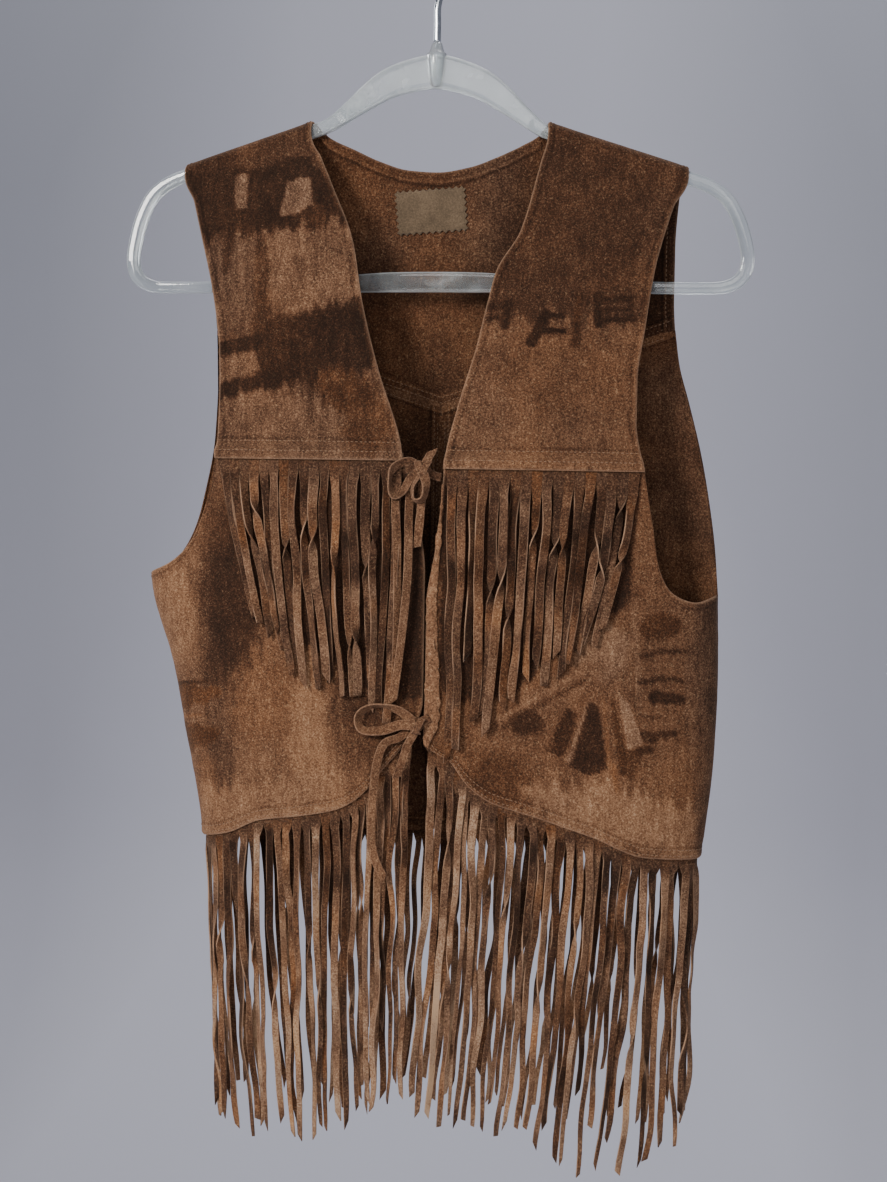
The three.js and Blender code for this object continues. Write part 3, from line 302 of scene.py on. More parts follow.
arm_height = curve(HANGER[:10])
width_right, width_left = curve([(z, r) for z, r, l in SECTIONS]), curve([(z, l) for z, r, l in SECTIONS])
depth_front, depth_back = curve(DEPTHS, 1), curve(DEPTHS, 2)


def shoulder(x):
    """The height of the garment's top line."""
    x = np.asarray(x, float)
    arm = arm_height(np.abs(x)) - ARM_SAG * np.clip(x / SAG_AT, -1, 1)
    end = arm_height(NECK_HALF)
    span = mix(end + ARM_SAG, end - ARM_SAG, (x + NECK_HALF) / (2 * NECK_HALF))
    return np.where(np.abs(x) >= NECK_HALF, arm, span) + SHOULDER_OVER


def half_width(x, z):
    return np.where(np.asarray(x) < 0, width_right(z), width_left(z))


def fold_rise(x, z, face):
    rise = np.zeros(np.broadcast(x, z).shape)
    for side, fx, fz, dx, dz, width, height in FOLDS:
        if side == face:
            length = math.hypot(dx, dz)
            along = ((x - fx) * dx + (z - fz) * dz) / length
            across = ((x - fx) * dz - (z - fz) * dx) / length
            rise = rise + height * ease(FOLD_REACH - np.abs(along) / length) * ridge(across, 0, width)
    return rise


def stand_off(x, z, face):
    """How far the body's surface stands from the middle plane."""
    t = np.minimum(1, np.abs(x) / half_width(x, z))
    shape = (1 - t**SIDE_POWER) ** (1 / SIDE_POWER)
    drop = shoulder(x) - z
    depth = (depth_front if face < 0 else depth_back)(drop)
    hung = SHOULDER_ROLL + (depth - SHOULDER_ROLL) * shape
    below = ease((drop - SHOULDER_ENDS) / SHOULDER_FADE)
    return mix(hung, depth * shape, below) + fold_rise(x, z, face) * shape


def body(x, z, face):
    x, z = np.broadcast_arrays(np.asarray(x, float), np.asarray(z, float))
    return np.stack([x, face * stand_off(x, z, face), z], -1)


def wall_normal(x, z, face):
    """The body surface's outward direction."""
    step = 0.2
    across = (stand_off(x + step, z, face) - stand_off(x - step, z, face)) / (2 * step)
    down = (stand_off(x, z + step, face) - stand_off(x, z - step, face)) / (2 * step)
    return unit(np.stack([-across, np.full(across.shape, float(face)), -down], -1))


def side_angle(x, z):
    t = np.minimum(1, np.abs(x) / half_width(x, z))
    return np.sign(x) * np.arcsin(t ** (SIDE_POWER / 2))


def side_x(angle, z):
    return np.sign(angle) * np.abs(np.sin(angle)) ** (2 / SIDE_POWER) * half_width(angle, z)


# ---- Materials ---------------------------------------------------------------------------------

def colour(r, g, b):
    def linear(c):
        c = c / 255
        return c / 12.92 if c <= 0.04045 else ((c + 0.055) / 1.055) ** 2.4
    return (linear(r), linear(g), linear(b), 1.0)


class Graph:
    """A short way to write a node tree."""

    def __init__(self, name):
        self.material = bpy.data.materials.new(name)
        self.material.use_nodes = True
        self.tree = self.material.node_tree
        self.shader = self.tree.nodes["Principled BSDF"]

    def add(self, kind, settings=None, **inputs):
        made = self.tree.nodes.new(kind)
        for key, value in (settings or {}).items():
            setattr(made, key, value)
        for key, value in inputs.items():
            self.put(made, key.replace("_", " "), value)
        return made

    def put(self, node, key, value):
        socket = node.inputs[int(key)] if key.isdigit() else node.inputs[key]
        if isinstance(value, bpy.types.NodeSocket):
            self.tree.links.new(value, socket)
        else:
            socket.default_value = value

    def maths(self, operation, a, b=0.0, c=0.0):
        made = self.tree.nodes.new("ShaderNodeMath")
        made.operation = operation
        for index, value in enumerate((a, b, c)):
            self.put(made, str(index), value)
        return made.outputs[0]

    def place(self):
        return self.add("ShaderNodeTexCoord").outputs["Object"]

    def axes(self):
        return self.add("ShaderNodeSeparateXYZ", None, Vector=self.place()).outputs

    def span(self, value, low, high, to_low=0.0, to_high=1.0):
        """value carried from between low and high to between to_low and to_high."""
        made = self.add("ShaderNodeMapRange", None, Value=value, From_Min=low, From_Max=high,
                        To_Min=to_low, To_Max=to_high)
        return made.outputs["Result"]

    def plus(self, total, part, share):
        return self.maths("ADD", total, self.maths("MULTIPLY", part, share))

    def noise(self, scale, detail=2.0, roughness=0.5, vector=None):
        made = self.add("ShaderNodeTexNoise", None, Scale=scale, Detail=detail, Roughness=roughness)
        self.put(made, "Vector", self.place() if vector is None else vector)
        return made.outputs["Fac"]

    def ramp(self, factor, stops):
        made = self.tree.nodes.new("ShaderNodeValToRGB")
        elements = made.color_ramp.elements
        while len(elements) < len(stops):
            elements.new(0.5)
        for element, (place, value) in zip(elements, stops):
            element.position, element.color = place, value
        self.put(made, "Fac", factor)
        return made.outputs["Color"]

    def blend(self, factor, a, b):
        made = self.tree.nodes.new("ShaderNodeMix")
        made.data_type = "RGBA"
        self.tree.links.new(factor, made.inputs[0])
        for index, value in ((6, a), (7, b)):
            self.put(made, str(index), value)
        return made.outputs[2]

    def attribute(self, name):
        return self.add("ShaderNodeAttribute", {"attribute_name": name}).outputs["Fac"]

    def bump(self, height, distance, strength):
        made = self.add("ShaderNodeBump", None, Strength=strength, Distance=distance)
        self.put(made, "Height", height)
        self.put(self.shader, "Normal", made.outputs["Normal"])

    def shade(self, **inputs):
        for key, value in inputs.items():
            self.put(self.shader, key.replace("_", " "), value)
        return self.material


SUEDE_COOL = [(0.0, colour(34, 21, 13)), (0.3, colour(64, 42, 30)), (0.55, colour(105, 75, 56)),
              (0.8, colour(146, 113, 88)), (1.0, colour(184, 153, 126))]
SUEDE_WARM = [(0.0, colour(40, 22, 11)), (0.3, colour(80, 47, 26)), (0.55, colour(122, 77, 47)),
              (0.8, colour(164, 115, 76)), (1.0, colour(198, 157, 116))]
CUT_EDGE = colour(190, 152, 122)
FLECK = colour(196, 160, 122)


def suede(name, cool, warm, contrast, bump):
    g = Graph(name)
    grain = g.noise(840, 3.0, 0.75)
    fibre = g.noise(1500, 2.0, 0.6)
    cloud = g.noise(52, 4.0, 0.62)
    patch = g.noise(13, 3.0, 0.55)
    brushed = g.add("ShaderNodeMapping", None, Vector=g.place(), Scale=(430, 430, 90))
    comb = g.noise(1.0, 3.0, 0.65, brushed.outputs["Vector"])
    parts = ((grain, contrast), (fibre, contrast * 0.4), (comb, 0.34), (cloud, 0.24), (patch, 0.24))
    tone = g.maths("MULTIPLY_ADD", g.attribute("NapAndShade"), 0.36, 0.46)
    for part, share in parts:
        tone = g.plus(tone, g.maths("SUBTRACT", part, 0.5), share)
    heat = g.plus(g.attribute("Warm"), g.maths("SUBTRACT", patch, 0.5), 0.8)
    heat = g.maths("MINIMUM", g.maths("MAXIMUM", heat, 0.0), 1.0)
    base = g.blend(heat, g.ramp(tone, cool), g.ramp(tone, warm))
    fleck = g.span(g.noise(760, 2.0, 0.7), 0.56, 0.7)
    shown = g.maths("MAXIMUM", g.maths("MULTIPLY_ADD", tone, 0.95, -0.12), 0.05)
    base = g.blend(g.maths("MULTIPLY", fleck, shown), base, FLECK)
    worn = g.maths("MULTIPLY", g.attribute("CutAndGlint"), g.maths("MULTIPLY_ADD", grain, 0.9, 0.35))
    skin = g.blend(g.maths("MINIMUM", worn, 1.0), base, CUT_EDGE)
    height = g.plus(g.plus(g.maths("MULTIPLY", grain, 0.9), fibre, 0.5), cloud, 0.6)
    g.bump(height, 0.0011, bump)
    rough = g.maths("MULTIPLY_ADD", grain, 0.2, 0.78)
    return g.shade(Base_Color=skin, Roughness=rough, Specular_IOR_Level=0.18, Sheen_Weight=0.28,
                   Sheen_Roughness=0.45, Sheen_Tint=colour(214, 178, 150))


def thread_material():
    g = Graph("thread")
    twist = g.noise(2200, 2.0, 0.6)
    skin = g.ramp(twist, [(0.25, colour(112, 82, 58)), (0.75, colour(172, 138, 106))])
    g.bump(twist, 0.0003, 0.4)
    return g.shade(Base_Color=skin, Roughness=0.7, Specular_IOR_Level=0.3, Sheen_Weight=0.2)


def label_material():
    g = Graph("label_cloth")
    weave = g.noise(900, 3.0, 0.7)
    patch = g.noise(60, 3.0, 0.6)
    tone = g.plus(g.maths("MULTIPLY", weave, 0.55), patch, 0.45)
    stops = [(0.3, colour(72, 60, 46)), (0.5, colour(103, 86, 67)), (0.72, colour(136, 115, 91))]
    skin = g.ramp(tone, stops)
    g.bump(weave, 0.0006, 0.5)
    return g.shade(Base_Color=skin, Roughness=0.9, Specular_IOR_Level=0.2, Sheen_Weight=0.3)


def clear_material():
    """Clear plastic, a little frosted in the arms' upper part, with painted highlights: whiter along its
    edges and in streaks.
    """
    g = Graph("clear_acrylic")
    haze = g.noise(38, 3.0, 0.5)
    frosted = g.span(g.axes()["Z"], -0.17, -0.14)
    painted_glints = g.span(g.noise(30, 4.0, 0.7), 0.5, 0.7)
    rough = g.maths("MULTIPLY_ADD", frosted, 0.12, 0.03)
    skin = g.ramp(haze, [(0.3, colour(222, 230, 230)), (0.7, colour(240, 245, 246))])
    g.bump(haze, 0.0004, 0.15)
    frost_and_glint = g.maths("MULTIPLY_ADD", frosted, 0.13, 0.09)
    # painted highlights: the edges and the streaks let less light through, so they read whiter
    frost_and_glint = g.plus(g.plus(frost_and_glint, g.attribute("CutAndGlint"), 0.42), painted_glints, 0.22)
    clear = g.maths("SUBTRACT", 1.0, frost_and_glint)
    return g.shade(Base_Color=skin, Roughness=rough, IOR=1.45, Transmission_Weight=clear,
                   Specular_IOR_Level=0.8, Coat_Weight=0.3, Coat_Roughness=0.03)


def chrome_material():
    g = Graph("chrome_wire")
    drawn = g.noise(240, 3.0, 0.6)
    rough = g.maths("MULTIPLY_ADD", drawn, 0.1, 0.05)
    skin = g.ramp(drawn, [(0.3, colour(176, 180, 186)), (0.7, colour(214, 217, 222))])
    g.bump(drawn, 0.0001, 0.2)
    return g.shade(Base_Color=skin, Roughness=rough, Metallic=1.0)


SUEDE_LOOK = suede("suede", SUEDE_COOL, SUEDE_WARM, 1.3, 0.7)
ROUGH_COOL = [(place, tuple(min(1.0, c * 1.45) for c in rgb[:3]) + (1.0,)) for place, rgb in SUEDE_COOL]
ROUGH_LOOK = suede("suede_flesh_side", ROUGH_COOL, SUEDE_WARM, 1.4, 1.0)
THREAD_LOOK = thread_material()
LABEL_LOOK = label_material()
CLEAR_LOOK = clear_material()
CHROME_LOOK = chrome_material()


# ---- Making meshes -----------------------------------------------------------------------------

def make(name, points, quads, look, attributes=None, tris=None):
    points = np.asarray(points, float).reshape(-1, 3)
    quads = np.asarray(quads, np.int64).reshape(-1, 4)
    tris = np.zeros((0, 3), np.int64) if tris is None else np.asarray(tris, np.int64).reshape(-1, 3)
    a, b, c, d = (points[quads[:, i]] for i in range(4))
    volume = (np.cross(b - a, c - a) * (a + b + c)).sum() + (np.cross(c - a, d - a) * (a + c + d)).sum()
    if volume < 0:
        quads, tris = quads[:, ::-1], tris[:, ::-1]
    mesh = bpy.data.meshes.new(name)
    mesh.vertices.add(len(points))
    mesh.vertices.foreach_set("co", (points * MM).astype(np.float32).ravel())
    mesh.loops.add(quads.size + tris.size)
    mesh.loops.foreach_set("vertex_index", np.concatenate([quads.ravel(), tris.ravel()]).astype(np.int32))
    mesh.polygons.add(len(quads) + len(tris))
    starts = np.concatenate([np.arange(len(quads)) * 4, quads.size + np.arange(len(tris)) * 3])
    mesh.polygons.foreach_set("loop_start", starts.astype(np.int32))
    mesh.update(calc_edges=True)
    mesh.polygons.foreach_set("use_smooth", np.ones(len(mesh.polygons), bool))
    for key in ("NapAndShade", "Warm", "CutAndGlint"):
        value = (attributes or {}).get(key)
        if value is not None:
            layer = mesh.attributes.new(key, "FLOAT", "POINT")
            layer.data.foreach_set("value", np.asarray(value, np.float32).ravel())
    piece = bpy.data.objects.new(name, mesh)
    bpy.context.scene.collection.objects.link(piece)
    mesh.materials.append(look)
    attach(piece, "root")
    return piece


def shell_quads(rows, columns):
    """Faces of a wall between an outer grid and an inner grid, the inner one's points after the outer's."""
    r, c = np.meshgrid(np.arange(rows - 1), np.arange(columns - 1), indexing="ij")
    o = (r * columns + c).ravel()
    n = rows * columns
    outer = np.stack([o, o + columns, o + columns + 1, o + 1], 1)
    faces = [outer, outer[:, ::-1] + n]
    r = np.arange(rows - 1) * columns
    faces.append(np.stack([r, r + n, r + columns + n, r + columns], 1))
    r = r + columns - 1
    faces.append(np.stack([r, r + columns, r + columns + n, r + n], 1))
    c = np.arange(columns - 1)
    faces.append(np.stack([c, c + 1, c + 1 + n, c + n], 1))
    c = c + (rows - 1) * columns
    faces.append(np.stack([c, c + n, c + 1 + n, c + 1], 1))
    return np.concatenate(faces)


def tube_quads(count, sides, closed=False):
    """Faces of a tube through count rings, each with as many points as it has sides."""
    i, k = np.meshgrid(np.arange(count if closed else count - 1), np.arange(sides), indexing="ij")
    a, b = (i * sides).ravel(), (((i + 1) % count) * sides).ravel()
    k, after = k.ravel(), ((k + 1) % sides).ravel()
    return np.stack([a + k, a + after, b + after, b + k], 1)


NEAR_EDGE = np.array([0, 0.3, 0.7, 1.2, 1.8, 2.5, 3.2, 4.0, 4.8, 5.6, 6.5, 7.5, 8.6, 9.8])


def places(length, step, first=True, last=True):
    """Places from 0 to 1, closer together beside the edges that show."""
    start = NEAR_EDGE if first else NEAR_EDGE[:1]
    end = length - (NEAR_EDGE if last else NEAR_EDGE[:1])[::-1]
    count = max(2, int(round((end[0] - start[-1]) / step)))
    return np.concatenate([start[:-1], np.linspace(start[-1], end[0], count + 1), end[1:]]) / length


def run(points, axis):
    """Distance along a grid's rows or columns from their start."""
    d = np.linalg.norm(np.diff(points, axis=axis), axis=-1)
    pad = [(0, 0), (0, 0)]
    pad[axis] = (1, 0)
    return np.cumsum(np.pad(d, pad), axis=axis)


def grid_normals(points, outward):
    normal = unit(np.cross(np.gradient(points, axis=0), np.gradient(points, axis=1)))
    return normal if (normal * outward).sum() > 0 else -normal


def edge_relief(d, fold):
    """Height near an edge: the wall's rounded corner, the fold's thickness and its stitches' groove."""
    if not fold:
        return -0.3 * ridge(d, 0, 0.5)
    rise = 0.42 * (1 - ease((d - fold + 0.5) / 1.1))
    return rise - 0.4 * ridge(d, fold - 1.6, 0.7) - 0.85 * ridge(d, 0, 0.8)


# ---- Nap marks and painted shade, placed in the picture's pixels -------------------------------

def polygon(px, py, corners, soft):
    """1 inside a convex polygon and 0 outside it, going over within soft."""
    inside = np.full(px.shape, 1e9)
    cx, cy = np.mean([c[0] for c in corners]), np.mean([c[1] for c in corners])
    for (ax, ay), (bx, by) in zip(corners, corners[1:] + corners[:1]):
        length = math.hypot(bx - ax, by - ay)
        nx, ny = (by - ay) / length, (ax - bx) / length
        if (cx - ax) * nx + (cy - ay) * ny < 0:
            nx, ny = -nx, -ny
        inside = np.minimum(inside, (px - ax) * nx + (py - ay) * ny)
    return ease(inside / soft + 0.5)


def oval(px, py, cx, cy, rx, ry, angle=0.0, soft=0.35):
    a = math.radians(angle)
    u = ((px - cx) * math.cos(a) + (py - cy) * math.sin(a)) / rx
    v = ((py - cy) * math.cos(a) - (px - cx) * math.sin(a)) / ry
    return ease((1 - np.hypot(u, v)) / soft + 0.5)


def streak(px, py, ax, ay, bx, by, wa, wb, soft=2.0):
    dx, dy = bx - ax, by - ay
    t = np.clip(((px - ax) * dx + (py - ay) * dy) / (dx * dx + dy * dy), 0, 1)
    return ease((mix(wa, wb, t) / 2 - np.hypot(px - ax - t * dx, py - ay - t * dy)) / soft + 0.5)


# Kind, its place in pixels, nap from dark -1 to light 1 (painted shade in some rows), warmth, and how ragged
# its edge is.
MARKS = [
    # the wearer's right yoke
    ("polygon", [(170, 100), (356, 100), (356, 236), (170, 240)], -0.12, 0.35, 9),
    ("polygon", [(180, 172), (360, 160), (360, 228), (180, 238)], -0.72, 0.4, 8),
    ("oval", (216, 160, 26, 16, -8), -0.5, 0.3, 6),
    ("oval", (322, 146, 12, 34, -12), 0.12, 0.35, 6),
    ("polygon", [(284, 160), (312, 156), (314, 170), (284, 174)], -0.75, 0.4, 3),
    ("polygon", [(234, 176), (249, 174), (247, 208), (235, 211)], 0.42, 0.05, 2),
    ("polygon", [(287, 181), (311, 177), (313, 203), (298, 214), (279, 217)], 0.55, 0.1, 2),
    ("oval", (318, 214, 9, 12, 0), -0.3, 0.5, 3),
    ("polygon", [(262, 230), (330, 222), (362, 226), (368, 300), (300, 316), (262, 300)], 0.4, 0.15, 10),
    ("polygon", [(196, 250), (262, 236), (262, 330), (212, 336)], 0.12, 0.05, 10),
    ("streak", (262, 244, 262, 330, 12, 20), -0.35, 0.35, 6),
    ("streak", (228, 240, 226, 270, 10, 6), -0.4, 0.35, 5),
    ("polygon", [(256, 320), (300, 312), (368, 286), (388, 342), (372, 370), (300, 386), (258, 384)],
     -0.8, 0.35, 11),
    ("streak", (264, 340, 210, 350, 15, 12), -0.85, 0.25, 2),
    ("streak", (270, 380, 210, 393, 16, 16), -0.85, 0.25, 3),
    ("polygon", [(216, 359), (256, 351), (261, 369), (216, 384)], 0.32, 0.15, 2),
    ("polygon", [(214, 404), (262, 388), (330, 398), (402, 432), (412, 474), (212, 474)], 0.3, 0.15, 11),
    ("oval", (346, 392, 34, 18, 28), -0.35, 0.75, 10),
    ("oval", (368, 430, 26, 26, 0), -0.1, 0.6, 10),
    # the wearer's left yoke
    ("polygon", [(440, 100), (700, 110), (700, 330), (430, 330)], -0.3, 0.3, 3),
    ("polygon", [(430, 318), (660, 318), (660, 480), (430, 480)], 0.32, 0.4, 16),
    ("oval", (560, 372, 60, 40, 0), 0.28, 0.55, 12),
    ("oval", (470, 430, 46, 44, 0), 0.32, 0.25, 12),
    ("oval", (600, 440, 50, 26, 0), 0.3, 0.35, 12),
    ("oval", (652, 250, 12, 80, 12), -0.1, 0.3, 9),
    ("streak", (598, 296, 598, 324, 8, 8), -0.85, 0.4, 1),
    ("streak", (600, 300, 632, 298, 6, 6), -0.8, 0.4, 1),
    ("streak", (600, 310, 630, 309, 3, 3), -0.7, 0.4, 1),
    ("streak", (600, 320, 634, 319, 6, 6), -0.8, 0.4, 1),
    ("streak", (632, 298, 632, 320, 4, 4), -0.6, 0.4, 1),
    ("streak", (546, 314, 532, 342, 9, 11), -0.85, 0.4, 1),
    ("streak", (545, 317, 564, 315, 5, 5), -0.8, 0.4, 1),
    ("streak", (543, 330, 564, 331, 6, 5), -0.8, 0.4, 1),
    ("streak", (509, 303, 505, 326, 9, 8), -0.8, 0.35, 1),
    ("streak", (486, 306, 505, 306, 8, 7), -0.8, 0.35, 1),
    ("streak", (488, 318, 503, 318, 5, 5), -0.6, 0.35, 1),
    ("streak", (579, 298, 575, 346, 5, 9), -0.5, 0.6, 4),
    # the wearer's right lower front
    ("polygon", [(140, 480), (440, 480), (440, 860), (140, 860)], 0.2, 0.35, 2),
    ("oval", (178, 618, 26, 50, -10), 0.58, 0.5, 12),
    # painted shade: a soft dark band down the side between the armhole and the fringe, fainter further down
    ("oval", (232, 600, 30, 120, 0), -0.74, 0.3, 14),
    ("oval", (222, 760, 14, 70, 0), -0.2, 0.2, 12),
    ("streak", (180, 696, 216, 692, 26, 12), -0.35, 0.95, 4),
    # painted shade in a small crease
    ("streak", (176, 683, 208, 681, 3, 2), -0.9, 0.7, 1),
    ("streak", (184, 736, 214, 732, 30, 12), -0.5, 0.9, 5),
    ("streak", (182, 716, 200, 715, 4, 3), 0.3, 0.8, 2),
    ("oval", (204, 776, 12, 26, 0), 0.1, 0.5, 8),
    ("oval", (308, 730, 22, 66, 0), 0.64, 0.5, 13),
    ("oval", (262, 700, 30, 44, 0), 0.2, 0.6, 13),
    ("polygon", [(200, 786), (345, 772), (345, 830), (200, 840)], 0.52, 0.4, 12),
    ("oval", (376, 690, 44, 80, 0), -0.45, 0.3, 13),
    # painted shadow: the front under the yoke fringe is darkest, for the shade in the gaps between strands
    ("polygon", [(234, 474), (430, 474), (430, 700), (378, 694), (256, 606)], -1.0, 0.3, 7),
    # the wearer's left lower front
    ("polygon", [(428, 480), (730, 480), (730, 880), (428, 880)], 0.09, 0.45, 2),
    # painted shadow: the front under the yoke fringe is darkest, for the shade in the gaps between strands
    ("polygon", [(440, 474), (640, 474), (626, 604), (500, 700), (440, 700)], -1.0, 0.35, 7),
    ("oval", (604, 652, 34, 28, -14), 0.46, 0.2, 5),
    ("oval", (560, 690, 46, 16, -30), 0.2, 0.35, 6),
    ("oval", (662, 668, 34, 52, 0), 0.14, 0.5, 6),
    ("streak", (634, 600, 640, 712, 8, 4), 0.42, 0.35, 2),
    ("oval", (660, 627, 21, 13, -8), -0.42, 0.8, 2),
    ("streak", (642, 657, 664, 651, 5, 5), -0.55, 0.5, 1),
    ("streak", (664, 651, 688, 652, 5, 3), -0.55, 0.5, 1),
    ("streak", (640, 683, 664, 678, 4, 5), -0.65, 0.5, 1),
    ("streak", (664, 678, 690, 682, 5, 3), -0.65, 0.5, 1),
    ("streak", (655, 697, 688, 700, 13, 8), -0.8, 0.45, 2),
    ("streak", (642, 738, 674, 734, 13, 6), -0.68, 0.5, 2),
    ("streak", (630, 755, 650, 750, 9, 7), -0.62, 0.55, 2),
    ("streak", (644, 716, 664, 719, 3, 3), -0.4, 0.5, 1),
    ("oval", (694, 700, 10, 60, 0), 0.08, 0.3, 6),
    ("polygon", [(566, 708), (577, 714), (564, 757), (546, 753)], -0.72, 0.55, 2),
    ("polygon", [(588, 700), (599, 708), (607, 768), (589, 775), (569, 765)], -0.88, 0.4, 2),
    ("streak", (589, 700, 569, 760, 2, 6), 0.55, 0.15, 1),
    ("streak", (604, 700, 609, 764, 2, 5), 0.25, 0.7, 1),
    ("streak", (612, 700, 626, 772, 3, 11), -0.6, 0.7, 2),
    ("polygon", [(618, 692), (630, 706), (644, 744), (628, 750)], 0.6, 0.15, 1),
    ("streak", (634, 756, 632, 774, 12, 9), -0.45, 0.6, 3),
    ("streak", (614, 764, 616, 824, 6, 14), 0.34, 0.9, 6),
    ("streak", (498, 721, 580, 672, 4, 4), 0.5, 0.35, 1),
    ("streak", (503, 727, 584, 680, 3, 3), -0.55, 0.5, 1),
    ("oval", (526, 722, 17, 12, 0), -0.68, 0.45, 3),
    ("oval", (500, 780, 40, 26, 30), -0.3, 0.6, 12),
    ("polygon", [(520, 790), (600, 780), (700, 810), (704, 862), (560, 830)], 0.6, 0.4, 13),
    # painted shade along the wearer's left side, where the body turns away from the light
    ("polygon", [(700, 540), (730, 540), (730, 870), (694, 850)], -0.1, 0.15, 12),
]
KINDS = {"polygon": polygon,
         "oval": lambda px, py, place, soft: oval(px, py, *place, soft=0.2 + 0.05 * soft),
         "streak": lambda px, py, place, soft: streak(px, py, *place, soft=1 + soft)}


def nap_marks(points):
    px, py = photo_place(points)
    nap_and_shade, warm = np.zeros(px.shape), np.full(px.shape, 0.2)
    side = hills(px, py, 9, 1) + 0.5 * hills(px, py, 4, 2)
    brush = hills(px, py / 6, 4.5, 3) + 0.6 * hills(px, py / 4, 2.6, 4)
    for kind, place, value, heat, ragged in MARKS:
        share = KINDS[kind](px + 0.28 * ragged * side, py + 0.75 * ragged * brush, place, ragged)
        nap_and_shade, warm = mix(nap_and_shade, value, share), mix(warm, heat, share)
    streaks = hills(px, py / 9, 2.6, 7) + 0.7 * hills(px, py / 7, 5.5, 8)
    upper = 1 - ease((py - 430) / 60)
    brushed = mix(0.5, mix(1.0, 0.3, ease((px - 400) / 40)), upper)
    # painted shade: the yokes (upper) are made darker, to even out the stronger light falling on them
    return nap_and_shade - 0.22 * upper + brushed * (0.18 * brush + 0.14 * streaks) + 0.08 * side, warm


# ---- Suede panels ------------------------------------------------------------------------------

def panel(name, points, face, folds, inner_folds=None, lift=0.0, stitches=(), inner_stitches=(), marked=False,
          thick=SUEDE, shade=0.0, normal=None):
    """A wall of suede on a grid of points.

    folds says how wide the turned edge is at the left, right, top and bottom, and inner_folds says it inside.
    """
    inner_folds = inner_folds or {}
    x, z = points[..., 0], points[..., 2]
    if normal is None:
        outward = np.stack([0.02 * x, np.full(x.shape, float(face)), np.full(x.shape, 0.3)], -1)
        normal = grid_normals(points, outward)
    down, across = run(points, 0), run(points, 1)
    away = {"left": across, "right": across[:, -1:] - across, "top": down, "bottom": down[-1:] - down}
    seed = 50 + len(name)

    def cloud(size, offset):
        return hills(x, z, size, seed + offset)

    soft = 0.55 * cloud(46, 0) + 0.3 * cloud(19, 1) + 0.12 * cloud(7, 2)
    free = ease(np.minimum.reduce(list(away.values())) / 6)
    outer_relief, inner_relief = soft * free, -soft * free
    rim = np.zeros(x.shape)
    for side, d in away.items():
        fold, inner_fold = folds.get(side, 0), inner_folds.get(side, 0)
        outer_relief = outer_relief + edge_relief(d, fold)
        inner_relief = inner_relief + edge_relief(d, inner_fold)
        if inner_fold:
            inner_relief = inner_relief + 0.55 * (1 - ease((d - inner_fold) / 0.9))
        if fold:
            pucker = hills(down if side in ("left", "right") else across, d, 5.5, seed + 4)
            outer_relief = outer_relief + 0.22 * pucker * ridge(d, fold, 3.5)
            rim = np.maximum(rim, ridge(d, 0, 0.8))
    outer = points + normal * (lift + outer_relief)[..., None]
    inner = points + normal * (lift - thick - inner_relief)[..., None]
    if marked:
        nap_and_shade, warm = nap_marks(outer)
    else:
        nap_and_shade = 0.34 * cloud(38, 5) + 0.28 * cloud(15, 6) - 0.08
        warm = 0.35 + 0.3 * cloud(52, 7)
    # a paler line near each edge, and painted shade just past each turned edge's step
    for side, fold in folds.items():
        nap_and_shade = nap_and_shade + 0.22 * ridge(away[side], 1.0, 1.3) - 0.35 * ridge(away[side], fold + 0.4, 0.9)
    # painted shade: the inner faces are 0.14 darker, plus the shade given
    inside_nap_and_shade = 0.18 * cloud(30, 8) + 0.12 * cloud(11, 9) - 0.14 + shade
    inside_warm = 0.34 + 0.3 * cloud(44, 10)
    # a paler line just inside each inner fold's end, and painted shade just past it
    for side, fold in inner_folds.items():
        pale, dark = ridge(away[side], fold - 0.6, 0.8), ridge(away[side], fold + 1.0, 0.8)
        inside_nap_and_shade = inside_nap_and_shade + 0.5 * pale - 0.5 * dark
    attributes = {"NapAndShade": np.stack([nap_and_shade, inside_nap_and_shade]), "Warm": np.stack([warm, inside_warm]),
                  "CutAndGlint": np.stack([0.52 * rim, 0.25 * rim])}
    piece = make(name, np.stack([outer, inner]), shell_quads(*x.shape), SUEDE_LOOK, attributes)
    sewn = [seam_line(outer, normal, away[side], side, d) for side, d in stitches]
    sewn += [seam_line(inner, -normal, away[side], side, d) for side, d in inner_stitches]
    if sewn:
        make_stitches(name + "_stitches", sewn)
    return piece, outer, inner


def seam_line(points, normal, away, side, distance):
    """The line of points on a grid that lies a distance in from one of its edges, with its normals."""
    both = np.concatenate([points, normal], -1)
    if side in ("top", "bottom"):
        both, away = both.swapaxes(0, 1), away.swapaxes(0, 1)
    line = []
    for row, d in zip(both, away):
        order = np.argsort(d)
        line.append([np.interp(distance, d[order], row[order, k]) for k in range(6)])
    line = np.array(line)
    keep = slice(2, -2)
    return line[keep, :3], unit(line[keep, 3:])


STITCH_PITCH, STITCH_LONG, THREAD_HALF, STITCH_SIDES = 3.1, 2.1, 0.25, 6
STITCH_RINGS = [  # place along the stitch, share of the thread's thickness, height over the suede
    (-0.5, 0.25, -0.35), (-0.38, 0.8, 0.02), (0.0, 1.0, 0.14), (0.38, 0.8, 0.02), (0.5, 0.25, -0.35),
]


